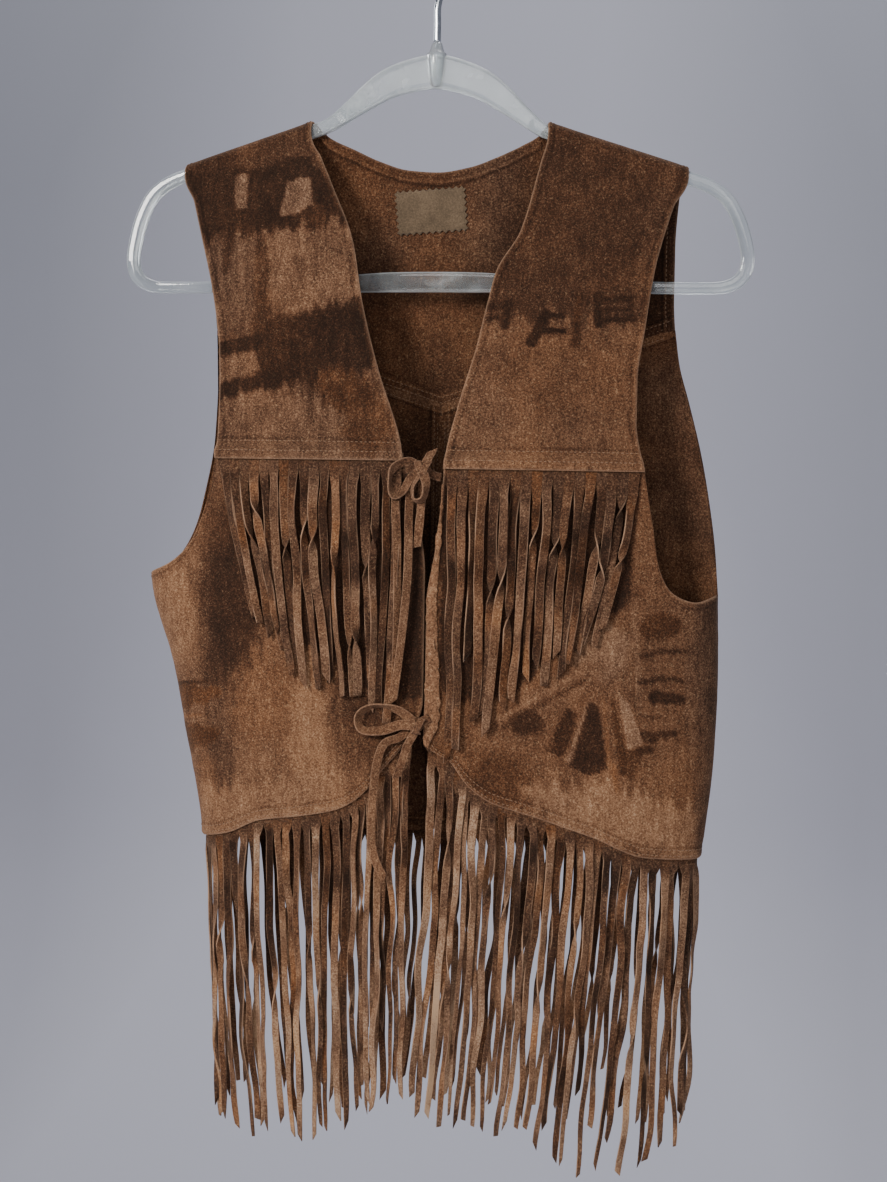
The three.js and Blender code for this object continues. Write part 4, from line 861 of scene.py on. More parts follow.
def make_stitches(name, lines):
    """Stitches along lines on the cloth, each a small bead of thread that dips into the suede at its ends."""
    share, fat, out = np.array(STITCH_RINGS).T[..., None]
    turn = 2 * math.pi * np.arange(STITCH_SIDES)[:, None] / STITCH_SIDES
    beads = []
    for points, normals in lines:
        s = arc_length(points)
        at = (np.arange(int(s[-1] / STITCH_PITCH)) + 0.5) * STITCH_PITCH
        normal = unit(along_line(at, s, normals))[:, None]
        along = unit(along_line(at + 0.6, s, points) - along_line(at - 0.6, s, points))[:, None]
        centre = along_line(at, s, points)[:, None] + along * share * STITCH_LONG + normal * out
        around = np.cross(along, normal) * np.cos(turn) + normal * np.sin(turn)
        beads.append(centre[:, :, None] + THREAD_HALF * fat[:, None] * around[:, None])
    beads = np.concatenate(beads)
    end = (len(STITCH_RINGS) - 1) * STITCH_SIDES
    caps = [(0, 5, 4, 3), (0, 3, 2, 1), (end, end + 1, end + 2, end + 3), (end, end + 3, end + 4, end + 5)]
    faces = np.concatenate([tube_quads(len(STITCH_RINGS), STITCH_SIDES), caps])
    start = np.arange(len(beads))[:, None, None] * len(STITCH_RINGS) * STITCH_SIDES
    make(name, beads, faces + start, THREAD_LOOK)


def roll_point(x, turned, face, start):
    """The turn over the hanger's arm, from 0 to 1 along it. start is how much lower its upper end lies."""
    begin = np.arccos(1 - np.minimum(start, SHOULDER_ROLL) / SHOULDER_ROLL)
    turn = mix(begin, math.pi / 2, turned)
    off = mix(SEAM_GAP / 2, SHOULDER_ROLL, np.sin(turn))
    x, y, z = np.broadcast_arrays(x, face * off, shoulder(x) - SHOULDER_ROLL * (1 - np.cos(turn)))
    return np.stack([x, y, z], -1)


def front_yoke(name, edge, armhole, seam, stitches):
    inner_x, outer_x = curve(edge), curve(armhole)
    first, last = sorted(edge)[-1][1], sorted(armhole)[-1][1]
    u = places(120, 1.45)[None, :]
    turned = np.linspace(0, 1, 8)[:, None]
    top_x = mix(first, last, u)
    roll = roll_point(np.broadcast_to(top_x, (8, u.size)), turned, -1, 0.0)
    v = places(225, 1.45, first=False)[1:, None]
    top = shoulder(top_x) - SHOULDER_ROLL
    z = mix(top, seam, v)
    down = ease((top - z) / 20)
    x = mix(top_x, mix(inner_x(np.minimum(z, -136)), outer_x(z), u), down)
    points = np.concatenate([roll, body(x, z, -1)])
    above = np.concatenate([np.full((8, u.size), 300.0), z - seam])
    lift = YOKE_LAP * ease((12 - above) / 7.4)
    folds = {"left": TURNED_EDGE, "right": TURNED_EDGE, "bottom": TURNED_YOKE}
    return panel(name, points, -1, folds, {"left": FACING, "right": FACING}, lift, stitches, marked=True)


def yoke_dip(x):
    """The height of the V seam below the back yoke."""
    return BACK_YOKE_DIP[0] + BACK_YOKE_DIP[1] * np.abs(x - CENTRE_BACK)


def lower_panel(name, face, seam, corner, underarm, edge_x, hem, side_z, fine, folds, inner_folds, lift=None,
                stitches=(), inner_stitches=(), seam_columns=8, step=2.0, marked=False):
    way = math.copysign(1, corner[0])
    edge = float(edge_x(seam(corner[0] * 0.1)))
    second = edge + way * EDGE_COLUMN
    top = [(edge, seam(edge))]
    top += [(mix(second, corner[0], i / (seam_columns - 1)), None) for i in range(seam_columns)]
    top = [(x, seam(x) if z is None else z) for x, z in top] + list(underarm)
    columns = len(top) - 1
    index = np.arange(columns + 1)
    bends = [(i, x, z) for i, (x, z) in enumerate(top)][seam_columns:]
    bend_x, bend_z = curve(bends, 1), curve(bends, 2)
    c = []
    for i in range(columns):
        length = math.hypot(top[i + 1][0] - top[i][0], top[i + 1][1] - top[i][1])
        count = max(2, int(length / step))
        c += list(i + (NEAR_EDGE[:-1] / EDGE_COLUMN if i == 0 else np.arange(count) / count))
    c = np.array(c + [columns])[None, :]
    v = places(fine, step)[:, None]
    straight = c < seam_columns
    line_x = np.interp(c, index, [p[0] for p in top])
    top_x = np.where(straight, line_x, bend_x(c))
    top_z = np.where(straight, seam(line_x), bend_z(c))
    side = way * (math.pi / 2 - 0.0008)
    spread = np.where(c < 1, 0.019 * c, mix(0.019, 1, (c - 1) / (columns - 1)))
    hem_start = edge_x(sorted(hem)[0][1] + (70 if hem is HEM_FRONT else 0))
    hem_x = side_x(mix(side_angle(hem_start, side_z), side, spread), side_z)
    z = mix(top_z, curve(hem)(hem_x), v)
    inner = side_angle(edge_x(z), z)
    top_inner = side_angle(edge_x(top_z), top_z)
    top_share = (side_angle(top_x, top_z) - top_inner) / (side - top_inner)
    share = mix(top_share, spread, ease(v * 1.1))
    angle = mix(inner, side, np.clip(share, 0, 1))
    points = body(side_x(angle, z), z, face)
    raised = lift(v, c) if lift else 0.0
    normal = wall_normal(points[..., 0], points[..., 2], face)
    return panel(name, points, face, folds, inner_folds, raised, stitches, inner_stitches, marked,
                 normal=normal)


def back_yoke():
    arm = {1: curve(BACK_ARMHOLE_LEFT), -1: curve(BACK_ARMHOLE_RIGHT)}
    neck = curve(BACK_NECK)
    finer = [share + np.linspace(-0.03, 0.03, 15) for share in (-0.5, 0.452)]
    u = np.unique(np.concatenate([mix(-1, 1, places(345, 2.2)), *finer]))[None, :]

    def edge(z):
        return np.abs(u) * np.where(u < 0, arm[-1](z), arm[1](z))

    top_x = edge(-158.0)
    on_shoulder = (top_x <= BACK_NECK[0][0]) | (top_x >= BACK_NECK[-1][0])
    top = np.where(on_shoulder, 0.0, np.maximum(0, shoulder(top_x) - neck(top_x)))
    turned = shoulder(top_x) - np.maximum(top, SHOULDER_ROLL)
    t = np.linspace(0, 1, 9)[:, None]
    flat_x, flat_t = np.broadcast_arrays(top_x, t)
    roll = roll_point(flat_x, flat_t, 1, top)
    plain = body(flat_x, turned - 4.5 * t, 1)
    upper = np.where((top < SHOULDER_ROLL)[..., None], roll, plain)
    start = np.where(top < SHOULDER_ROLL, turned, turned - 4.5)
    seam = yoke_dip(top_x)
    for _ in range(4):
        seam = yoke_dip(edge(seam)) + V_SEAM_GAP
    v = places(170, 2.2, first=False)[1:, None]
    z = mix(start, seam, v)
    points = np.concatenate([upper, body(edge(z), z, 1)])
    folds = {"left": TURNED_EDGE, "right": TURNED_EDGE, "top": TURNED_EDGE}
    return panel("back_yoke_suede", points, 1, folds,
                 {"left": FACING, "right": FACING, "top": 7.5, "bottom": 8.5}, 0.0,
                 [("left", 6.5), ("right", 6.5), ("top", 6.5), ("bottom", 2.0), ("bottom", 6.5)],
                 [("left", 5.6), ("right", 5.6), ("bottom", 7.0)],
                 # painted shadow inside the back yoke: darker overall, and more so towards the wearer's left
                 shade=-0.1 - 0.35 * ease((points[..., 0] - 30) / 30))


front_edge_right, front_edge_left = curve(EDGE_RIGHT), curve(EDGE_LEFT)
YOKE_SEWN = [("bottom", 5.8), ("bottom", 12.6)]
yoke_right, *_ = front_yoke("front_yoke_right_suede", EDGE_RIGHT, ARMHOLE_RIGHT, SEAM_RIGHT, YOKE_SEWN)
yoke_left, *_ = front_yoke("front_yoke_left_suede", EDGE_LEFT, ARMHOLE_LEFT, SEAM_LEFT, YOKE_SEWN)
LOWER_FOLDS = {"left": TURNED_EDGE, "top": TURNED_EDGE, "bottom": TURNED_HEM}
LOWER_SEWN = [("bottom", 2.6), ("bottom", 6.6)]


def front_lower(name, seam, underarm, edge_x, hem_end, lift=None):
    return lower_panel(
        name, -1, lambda x: seam + UNDER_YOKE + 0 * x, underarm[0], underarm[1:], edge_x, HEM_FRONT,
        hem_end, 230, LOWER_FOLDS, {"left": 8, "bottom": 8}, lift, LOWER_SEWN, step=1.5, marked=True)


def front_lap(v, c):
    """How far the left front's edge is raised, to lie over the right one."""
    return FRONT_LAP * (1 - np.clip(c, 0, 1)) * ease(v * 11 - 2)


lower_right, right_outer, right_inner = front_lower(
    "front_lower_right_suede", SEAM_RIGHT, UNDERARM_RIGHT, front_edge_right, HEM_END_RIGHT)
lower_left, left_outer, left_inner = front_lower(
    "front_lower_left_suede", SEAM_LEFT, UNDERARM_LEFT, front_edge_left, HEM_END_LEFT, front_lap)
yoke_back, *_ = back_yoke()
BACK_HEIGHTS = {1: [-292, -318, -352, -384, -415, -447], -1: [-300, -345, -381, -408, -428, -447]}


def back_lower(name, way):
    arm = curve(BACK_ARMHOLE_RIGHT if way < 0 else BACK_ARMHOLE_LEFT)
    underarm = [(float(arm(z)), z + (6 if z < -440 and way < 0 else 0)) for z in BACK_HEIGHTS[way]]
    return lower_panel(
        name, 1, lambda x: yoke_dip(x) - V_SEAM_GAP, (float(arm(-270)), 0), underarm,
        lambda z: CENTRE_BACK + way * 0.05 + 0 * np.asarray(z, float), HEM_BACK,
        HEM_END_RIGHT if way < 0 else HEM_END_LEFT, 300, {"bottom": TURNED_HEM, "left": 1.2},
        {"left": 6.5, "bottom": 8, "top": 4}, stitches=LOWER_SEWN + [("left", 2.4)],
        inner_stitches=[("left", 5.0)], seam_columns=7, step=3.0)


back_right, back_right_outer, back_right_inner = back_lower("back_lower_right_suede", -1)
back_left, back_left_outer, back_left_inner = back_lower("back_lower_left_suede", 1)


def seam_strip(name, x, z, stitched):
    """A strip of suede sewn flat over a seam inside the back, on a grid of points."""
    panel(name, body(x, z, 1), 1, {}, None, -(SUEDE + 0.15), (), stitched, thick=STRIP_THICK, shade=0.3)


dip_x = np.linspace(-150, 163, 150)[None, :]
dip_z = yoke_dip(dip_x) + np.linspace(4.6, -4.6, 12)[:, None]
seam_strip("back_yoke_seam_strip", dip_x, dip_z, [("top", 1.5), ("bottom", 1.5)])
seam_strip("centre_back_seam_strip", CENTRE_BACK + np.linspace(-4, 4, 10)[None, :],
           np.linspace(-327.5, -618, 130)[:, None], [("left", 1.4), ("right", 1.4)])
for way, word, strip_top in ((-1, "right", -443), (1, "left", -449)):
    strip_z = np.linspace(strip_top, -619, 80)[:, None]
    strip_y = np.linspace(-4.5, 4.5, 13)[None, :]
    rounded = (1 - (np.abs(strip_y) / float(depth_back(330.0))) ** SIDE_POWER) ** (1 / SIDE_POWER)
    strip_x = way * half_width(way, strip_z) * rounded
    strip = np.stack(np.broadcast_arrays(strip_x, strip_y, strip_z), -1)
    panel("side_seam_strip_" + word, strip, 1, {}, None, -(SUEDE + 0.3), thick=STRIP_THICK, shade=0.2)
PANELS = [
    (yoke_right, "front_yoke_right"), (yoke_left, "front_yoke_left"), (lower_right, "front_lower_right"),
    (lower_left, "front_lower_left"), (yoke_back, "back_yoke"), (back_right, "back_lower_right"),
    (back_left, "back_lower_left"),
]
for piece, node in PANELS:
    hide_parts(node)


# ---- Ribbons: strands and laces ----------------------------------------------------------------

RIBBON_HALF = [
    (-1, -0.5), (-0.97, -0.9), (-0.88, -1), (-0.72, -1), (0, -1), (0.72, -1), (0.88, -1), (0.97, -0.9),
    (1, -0.5),
]
RIBBON = np.array(RIBBON_HALF + [(-a, -n) for a, n in RIBBON_HALF])
RIBBON_SIDE = np.sign(RIBBON[:, 0]) * 7
FORWARD = np.array([0, -1.0, 0])
EDGE_SHARE = np.interp(np.abs(RIBBON[:, 0]), [0.8, 0.9, 1.0], [0, 0.3, 1])


def ribbon(path, normal, width, thick, twist, slant=0.0):
    """Points, faces and cut-edge shares of a flat strip along path, turned by twist, its end slanted."""
    path = np.asarray(path, float)
    count = len(path)
    along = unit(np.gradient(path, axis=0))
    normal = unit(normal - (normal * along).sum(-1, keepdims=True) * along)
    wide = np.cross(along, normal)
    c, s = np.cos(twist)[:, None], np.sin(twist)[:, None]
    side, out = wide * c + normal * s, normal * c - wide * s
    a, n = RIBBON[:, 0], RIBBON[:, 1]
    points = (path[:, None] + side[:, None] * (a[None, :, None] * (width / 2)[:, None, None])
              + out[:, None] * (n[None, :, None] * (thick / 2)))
    near_end = ease((np.arange(count) - count + 4) / 3)
    points = points + along[:, None] * (a[None, :, None] * slant * near_end[:, None, None])
    k = len(RIBBON)
    caps = np.array([(i, k - 1 - i, k - 2 - i, i + 1) for i in range(k // 2 - 1)])
    quads = np.concatenate([tube_quads(count, k), caps, caps[:, ::-1] + (count - 1) * k])
    return points.reshape(-1, 3), quads, np.tile(EDGE_SHARE, count)


def gather(node, parts):
    """Joins parts of (points, quads, nap, warm, cut) into the one suede piece that stands for a node."""
    points, quads, base = [], [], 0
    attributes = {"NapAndShade": [], "Warm": [], "CutAndGlint": []}
    for own_points, own_quads, *values in parts:
        points.append(own_points)
        quads.append(own_quads + base)
        base += len(own_points)
        for key, value in zip(attributes, values):
            attributes[key].append(np.broadcast_to(value, len(own_points)))
    attributes = {key: np.concatenate(values) for key, values in attributes.items()}
    points, quads = np.concatenate(points), np.concatenate(quads)
    piece = make(node + "_suede", points, quads, SUEDE_LOOK, attributes)
    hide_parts(node)
    return piece


def sway(index, share, salt, reach):
    clump = 2.2 * math.sin(0.6 * index + salt)
    own = 1.4 * scatter(index, salt)
    ripple = 1.1 * np.sin(5.2 * share + 3 * scatter(index, salt + 2))
    return reach * (share * share * (clump + own) + share * ripple)


RINGS = 34
STAINS = ((-414, 5), (-436, 7))  # height and half height of the dark bands across the yokes' fringes


def strand(root, tip, pitch, slit, index, salt, turn, tones, out, hem=False):
    """One strand: it leaves the backing at its slit, sways, may turn over once, and ends in a slanted cut.

    root and tip are its ends; out(path) gives the surface that it hangs on, and turn is where it turns over.
    """
    def chance(offset):
        return scatter(index, salt + offset)

    def own(along, offset, row=3):
        return hills(along, row * index + 0 * along, 1, salt + offset)

    share = np.linspace(0, 1, RINGS) ** 1.1
    drop = share * (root[2] - tip[2])
    free = ease((drop - slit) / (7 if hem else 13))
    path = root + np.outer(share**1.4, tip - root)
    path[:, 2] = root[2] - drop
    wander = own(drop / 36, 40) + 0.15 * own(drop / 15, 41)
    path[:, 0] += free * (sway(index, share, salt, 0.9) + (2.0 if hem else 1.5) * wander)
    path, normal = out(path, free)
    flip = 0 if turn <= 0 else math.copysign(1, chance(11)) * ease((share - turn + 0.1) / 0.2)
    twist = math.pi * flip + 0.75 * free * own(drop / 38, 42) + 0.25 * free * chance(12)
    path = path + normal * (2.3 * np.abs(np.sin(twist)))[:, None]
    taper, wide = (0.3 + 0.2 * chance(37), 0.98) if hem else (0.1, 1.14)
    width = STRAND_WIDTH * (wide + 0.16 * chance(15)) * (1 - taper * share)
    width = width * (1 + 0.04 * own(drop / 9, 43))
    width = width * (1 - 0.35 * ease((share - 0.95) / 0.05) * abs(chance(16)))
    width = mix(pitch * 1.02, width, free)
    points, quads, cut = ribbon(path, normal, width, STRAND_THICK, twist, 4.2 * chance(17))
    s, d, f = (np.repeat(v, len(RIBBON)) for v in (share, drop, free))
    band = own(d / 24, 60)
    dark, gold = ease((band - 0.3) / 0.25), ease((-band - 0.4) / 0.3)
    if not hem:
        dark = 0.5 * dark
        for height, tall in STAINS:
            here = ease(0.5 + chance(height)) * ridge(root[2] - d, height + 4 * chance(64), tall)
            dark, gold = dark + here, gold + 0.7 * here
    nap_and_shade = mix(tones[0], tones[1], ease((s - 0.3) / 0.4)) + 0.26 * own(d / 9, 61, 7)
    nap_and_shade = mix(-0.2, nap_and_shade - 0.6 * dark + 0.1 * gold, f)
    if turn > 0:
        nap_and_shade = nap_and_shade + 0.25 * np.repeat(np.abs(flip), len(RIBBON))
    warm = 0.1 + 0.2 * chance(21) + 0.45 * gold + 0.25 * own(d / 16, 62)
    rows = index * 5 + (cut > 0) * np.tile(RIBBON_SIDE, RINGS)
    pale = ease(0.5 + 0.9 * hills(d / 18, rows, 1, salt + 63))
    return points, quads, nap_and_shade, np.clip(warm, 0, 1), cut * f * pale


def backing(tops, bottoms, normals, out):
    """The strip that the strands are cut from, between two lines of points."""
    front = np.stack([tops, bottoms]) + normals[None] * out
    wall = np.stack([front, front - normals[None] * BACKING_THICK])
    return wall.reshape(-1, 3), shell_quads(2, len(tops)), 0.0, 0.35, 0.0


# Each strand under a yoke, from the wearer's right: where it turns over along its length (0 for nowhere),
# its nap above and below, and how far its tip lies sideways and up from the fringe's own line.
STRANDS_RIGHT = [
    (0, -0.15, 0.2, 0, 0), (0, -0.35, 0.3, 0, 0), (0.45, 0.1, -0.1, 1, 2), (0.3, 0, -0.4, 2, 12),
    (0, -0.35, 0.25, 0, 0), (0, 0.2, 0.1, 0, -4), (0.45, 0.15, -0.3, 1, 10), (0, -0.2, 0.5, -1, -2),
    (0.3, -0.1, 0, 1, -6), (0.36, 0.1, 0.1, 0, 6), (0, -0.4, -0.3, -1, 4), (0.4, 0.35, 0, -1, -5),
    (0.78, -0.1, 0.3, 1, -2), (0.74, -0.15, 0.25, 0, 0), (0.5, 0.1, -0.2, 2, 14), (0.3, 0, 0.2, 0, 0),
    (0, -0.2, -0.1, 0, 4), (0, -0.1, 0.1, 0, 0),
]
STRANDS_LEFT = [
    (0, 0, 0.1, 0, 0), (0, 0.05, -0.1, 0, 6), (0, 0.1, -0.35, 1, 58), (0, 0.15, 0, 1, 16),
    (0.5, 0.25, -0.1, -2, 14), (0.42, 0, 0.1, -3, 0), (0.6, -0.3, 0, 0, 4), (0, -0.05, 0.3, 0, 2),
    (0.3, 0, 0.25, 0, 4), (0, 0.1, -0.35, 0, 8), (0.35, -0.1, 0.3, 0, -2), (0.42, -0.1, 0, 0, 10),
    (0, 0, -0.15, 0, 0), (0, -0.1, -0.05, 0, 0), (0.4, 0.1, 0.2, 2, 0), (0.6, -0.2, -0.3, 0, 8),
    (0.2, 0, 0.2, 0, -2), (0.55, 0, 0.1, 0, 6),
]


def on_front(path, away):
    """A path laid on the front, a distance away from it, with the front's outward directions."""
    x, z = path[:, 0], path[:, 2]
    normal = wall_normal(x, z, -1)
    return body(x, z, -1) + normal * np.broadcast_to(away, x.shape)[:, None], normal


def yoke_fringe(node, from_x, to_x, seam, salt, lean, table, slit):
    """Fringe under a front yoke: every second strand lies over its neighbours."""
    tips = curve(YOKE_TIPS)
    pitch = (to_x - from_x - STRAND_WIDTH) / (len(table) - 1)
    rise = SEAM_GAP + 0.1 + BACKING_THICK / 2
    outermost, centre = (from_x, to_x) if from_x < 0 else (to_x, from_x)
    parts = []
    for k, (turn, high, low, aside, up) in enumerate(table):
        x = from_x + k * pitch + STRAND_WIDTH / 2
        tip_x = x + lean * ((x - centre) / (outermost - centre)) ** 1.3
        root = np.array([x, 0, seam - 0.5])
        tip = np.array([tip_x + aside, 0, tips(tip_x) + 4 * scatter(k, salt + 5) + up])
        odd = k % 2
        near, far = rise + 0.06 * odd, 1.7 + LAYER_STEP * odd
        # painted shade: the strands that lie under their neighbours are darker
        below = 0.32 * (1 - odd)
        cut_from = slit * (1.1 + 0.6 * scatter(k, salt + 6))
        parts.append(strand(root, tip, pitch, cut_from, k, salt, turn, (high - below, low - below),
                            lambda path, free: on_front(path, mix(near, far, free))))
    x = np.linspace(from_x, to_x, 60)
    line = np.stack([x, 0 * x, np.full(60, seam + 3.8)], -1)
    top, normal = on_front(line, rise)
    bottom, _ = on_front(line - np.array([0, 0, 6.2]), rise)
    parts.append(backing(top, bottom, normal, BACKING_THICK / 2))
    gather(node, parts)


# Where a hem strand's tip hangs, by where its root is: the strands hang in bunches, with gaps between.
GATHER_FRONT = [
    (-156, -143), (-136, -130), (-133, -119), (-104, -98), (-101, -84), (-84, -77), (-78, -66), (-62, -58),
    (-55, -50), (-30, -31), (-2, -3), (6, -3), (20, 9), (40, 28), (60, 49), (90, 77), (120, 105), (140, 127),
    (156, 144), (160, 151), (170, 158), (173, 166), (180, 175), (189, 186),
]
BEHIND = 1.0627  # how much further from the middle the back's bunches lie
GATHER_BACK = [tuple(CAMERA_AT[0] + BEHIND * (x - CAMERA_AT[0]) for x in row) for row in GATHER_FRONT]


def hem_fringe(node, outer, inner, tips_table, gathered, salt, count, behind_shade):
    """Fringe sewn inside a panel's lower edge: its backing shows a little below the hem, then the strands."""
    tips = curve(tips_table)
    line = inner[-1]
    s = arc_length(line)
    normals = unit((outer[-1] - line) * np.array([1, 1, 0]))
    margin = 3.5
    pitch = (s[-1] - 2 * margin - STRAND_WIDTH) / (count - 1)
    behind = SEAM_GAP + 0.35 + BACKING_THICK / 2
    keys, values = np.array(gathered, float).T
    parts = []
    for k in range(count):
        def chance(offset):
            return scatter(k, salt + offset)

        odd = k % 2
        q = margin + k * pitch + STRAND_WIDTH / 2
        bottom, n = along_line(q, s, line), unit(along_line(q, s, normals))
        root = bottom - n * behind
        root[2] -= HEM_SHOWS - 3
        short = 60 * abs(chance(34)) if chance(33) > 0.7 else 0
        tip = root.copy()
        tip[0] += np.interp(bottom[0], keys, values) - bottom[0] + 1.2 * chance(7)
        tip[2] = tips(bottom[0]) + 9 * chance(5) + short
        turns = abs(chance(31)) > 0.6 and k < count - 2
        turn = 0.25 + 0.5 * abs(chance(32)) if turns else 0
        middle = 0.35 * ease((45 - abs(bottom[0] - 25)) / 30) + 0.16 * ease((-40 - bottom[0]) / 40)
        # painted shade: strands lying behind are darker, and the back's fringes are darker at the top, in the
        # front's shade, and lighter towards the tips
        middle = -0.2 if behind_shade else middle + 0.22 - 0.42 * odd
        low = 0.4 if behind_shade else middle + 0.1
        tones = (0.6 * chance(35) + middle, 0.8 * (1 - behind_shade) * chance(36) + low)

        def inside(path, free):
            away = LAYER_STEP * odd * free + 0.06 * odd
            return path - np.outer(away, n), np.broadcast_to(n, path.shape)

        cut_from = 3.0 * (1.1 + 0.9 * chance(6))
        *made, cut = strand(root, tip, pitch, cut_from, k, salt, turn, tones, inside, hem=True)
        # painted shade also dims the back fringes' cut edges
        parts.append((*made, cut * (1 - behind_shade)))
    q = np.linspace(margin, s[-1] - margin, count * 4)
    n = unit(along_line(q, s, normals))
    low = along_line(q, s, line) - n * (behind - BACKING_THICK / 2)
    up = np.array([0, 0, 1.0])
    parts.append(backing(low + up * 6, low - up * (HEM_SHOWS - 1), n, 0.0))
    gather(node, parts)


yoke_fringe("yoke_fringe_right", -139, -14.5, SEAM_RIGHT, 1, 24, STRANDS_RIGHT, 4)
yoke_fringe("yoke_fringe_left", 18, 143, SEAM_LEFT, 2, -17, STRANDS_LEFT, 8)
HEM_FRINGES = [  # panel, its two faces, tips, bunches, salt, number of strands, and how much painted shade dims it, behind the front, its cut edges too
    ("front_right", right_outer, right_inner, HEM_TIPS, GATHER_FRONT, 3, 27, 0),
    ("front_left", left_outer, left_inner, HEM_TIPS, GATHER_FRONT, 4, 31, 0),
    ("back_right", back_right_outer, back_right_inner, BACK_TIPS, GATHER_BACK, 5, 24, 0.2),
    ("back_left", back_left_outer, back_left_inner, BACK_TIPS, GATHER_BACK, 6, 28, 0.2),
]
for panel_name, *row in HEM_FRINGES:
    hem_fringe("hem_fringe_" + panel_name, *row)


# ---- Laces -------------------------------------------------------------------------------------

def lace_path(rows, count):
    """A smooth line through a lace's rows, evenly spaced, and its length."""
    rows = np.array(rows, float)
    flat = body(rows[:, 0], rows[:, 1], -1)
    flat[:, 1] -= LACE_OUT + rows[:, 2]
    line = smooth_line(flat, 12)
    s = arc_length(line)
    return along_line(np.linspace(0, s[-1], count), s, line), s[-1]


def lace(path, seed, turn=0.0, slant=0.0, width=LACE_WIDTH, thick=LACE_THICK, nap_and_shade=0.25):
    def own(along, offset):
        return hills(along, seed + 0 * along, 1, seed + offset)

    share = np.linspace(0, 1, len(path))
    twist = turn * np.sin(math.pi * share) + 0.3 * own(share * 7, 0)
    wide = width * (1 + 0.06 * own(share * 9, 1))
    points, quads, cut = ribbon(path, np.broadcast_to(FORWARD, path.shape), wide, thick, twist, slant)
    return points, quads, nap_and_shade + 0.3 * own(np.repeat(share, len(RIBBON)) * 9, 2), 0.25, 0.35 * cut


def knot(cx, cz, across, tall, deep, seed):
    """A knot: a soft core and the lace's own turns wound over it."""
    n, m = 18, 12
    lon = np.linspace(0, 2 * math.pi, n, endpoint=False)
    lat = np.linspace(0.12, math.pi - 0.12, m)[:, None]
    core = np.stack([np.sin(lat) * np.cos(lon) * across * 0.86, np.sin(lat) * np.sin(lon) * deep * 0.8,
                     np.cos(lat) * tall * 0.86 + 0 * lon], -1)
    middle = body(cx, cz, -1) + FORWARD * (LACE_OUT + 0.4)
    parts = [((core + middle).reshape(-1, 3), tube_quads(m, n), -0.2, 0.3, 0.0)]
    for tilt, shift in ((0.5, -1.6), (-0.35, 1.4)):
        a = np.linspace(-0.62 * math.pi, 0.62 * math.pi, 22)
        x, y, z = shift + np.sin(a) * 0.6, -np.cos(a) * deep * 1.02, np.sin(a) * tall * 0.98
        ca, sa = math.cos(tilt), math.sin(tilt)
        wrap = np.stack([x * ca - z * sa, y, x * sa + z * ca], -1)
        out = unit(wrap * np.array([0.15, 1.0, 1.0]))
        points, faces, cut = ribbon(wrap + middle, out, np.full(22, 4.6), 1.2, np.zeros(22))
        nap_and_shade = 0.2 + 0.2 * hills(points[:, 2], points[:, 0], 3, seed)
        parts.append((points, faces, nap_and_shade, 0.25, 0.4 * cut))
    return parts


def bow(node, core, laces):
    """A knot and the laces' stubs and loops at it, as one piece."""
    gather(node, core + [lace(lace_path(rows, count)[0], seed, **own) for rows, count, seed, own in laces])


bow("tie_upper_bow", knot(1.5, -366, 6.5, 6, 3.6, 5), [
    (UPPER_STUB_LEFT, 14, 71, {"nap_and_shade": -0.2}),
    (UPPER_STUB_RIGHT, 12, 72, {"nap_and_shade": -0.1}),
    (UPPER_LOOP_WIDE, 52, 73, {"turn": 1.2, "width": 6.6, "thick": 1.1}),
    (UPPER_LOOP_NARROW, 40, 74, {"turn": -1.25, "width": 6.2, "thick": 1.1}),
    (UPPER_POINT, 14, 75, {"slant": 3.0}),
])
bow("tie_lower_bow", knot(0.5, -536.5, 5.5, 5.5, 3.4, 6), [
    (LOWER_STUB, 12, 76, {"nap_and_shade": -0.1}),
    (LOWER_LOOP_LONG, 60, 77, {"turn": 1.25, "width": 7.0, "thick": 1.1}),
])
TAILS = [  # node, rows, points, seed, turn, slant of the cut end
    ("tie_upper_tail_long", UPPER_TAIL_LONG, 44, 81, 0.5, 3.0),
    ("tie_upper_tail_second", UPPER_TAIL_SECOND, 46, 82, 0.6, -2.0),
    ("tie_upper_tail_wide", UPPER_TAIL_WIDE, 20, 83, 0.15, 0.8),
    ("tie_lower_tail_long", LOWER_TAIL_LONG, 44, 84, 0.35, 2.0),
    ("tie_lower_tail_short", LOWER_TAIL_SHORT, 20, 85, 0.2, 1.5),
]
for node, rows, count, seed, turn, slant in TAILS:
    path, length = lace_path(rows, count)
    piece = gather(node, [lace(path, seed, turn, slant)])


# ---- Front edge strip and label ----------------------------------------------------------------

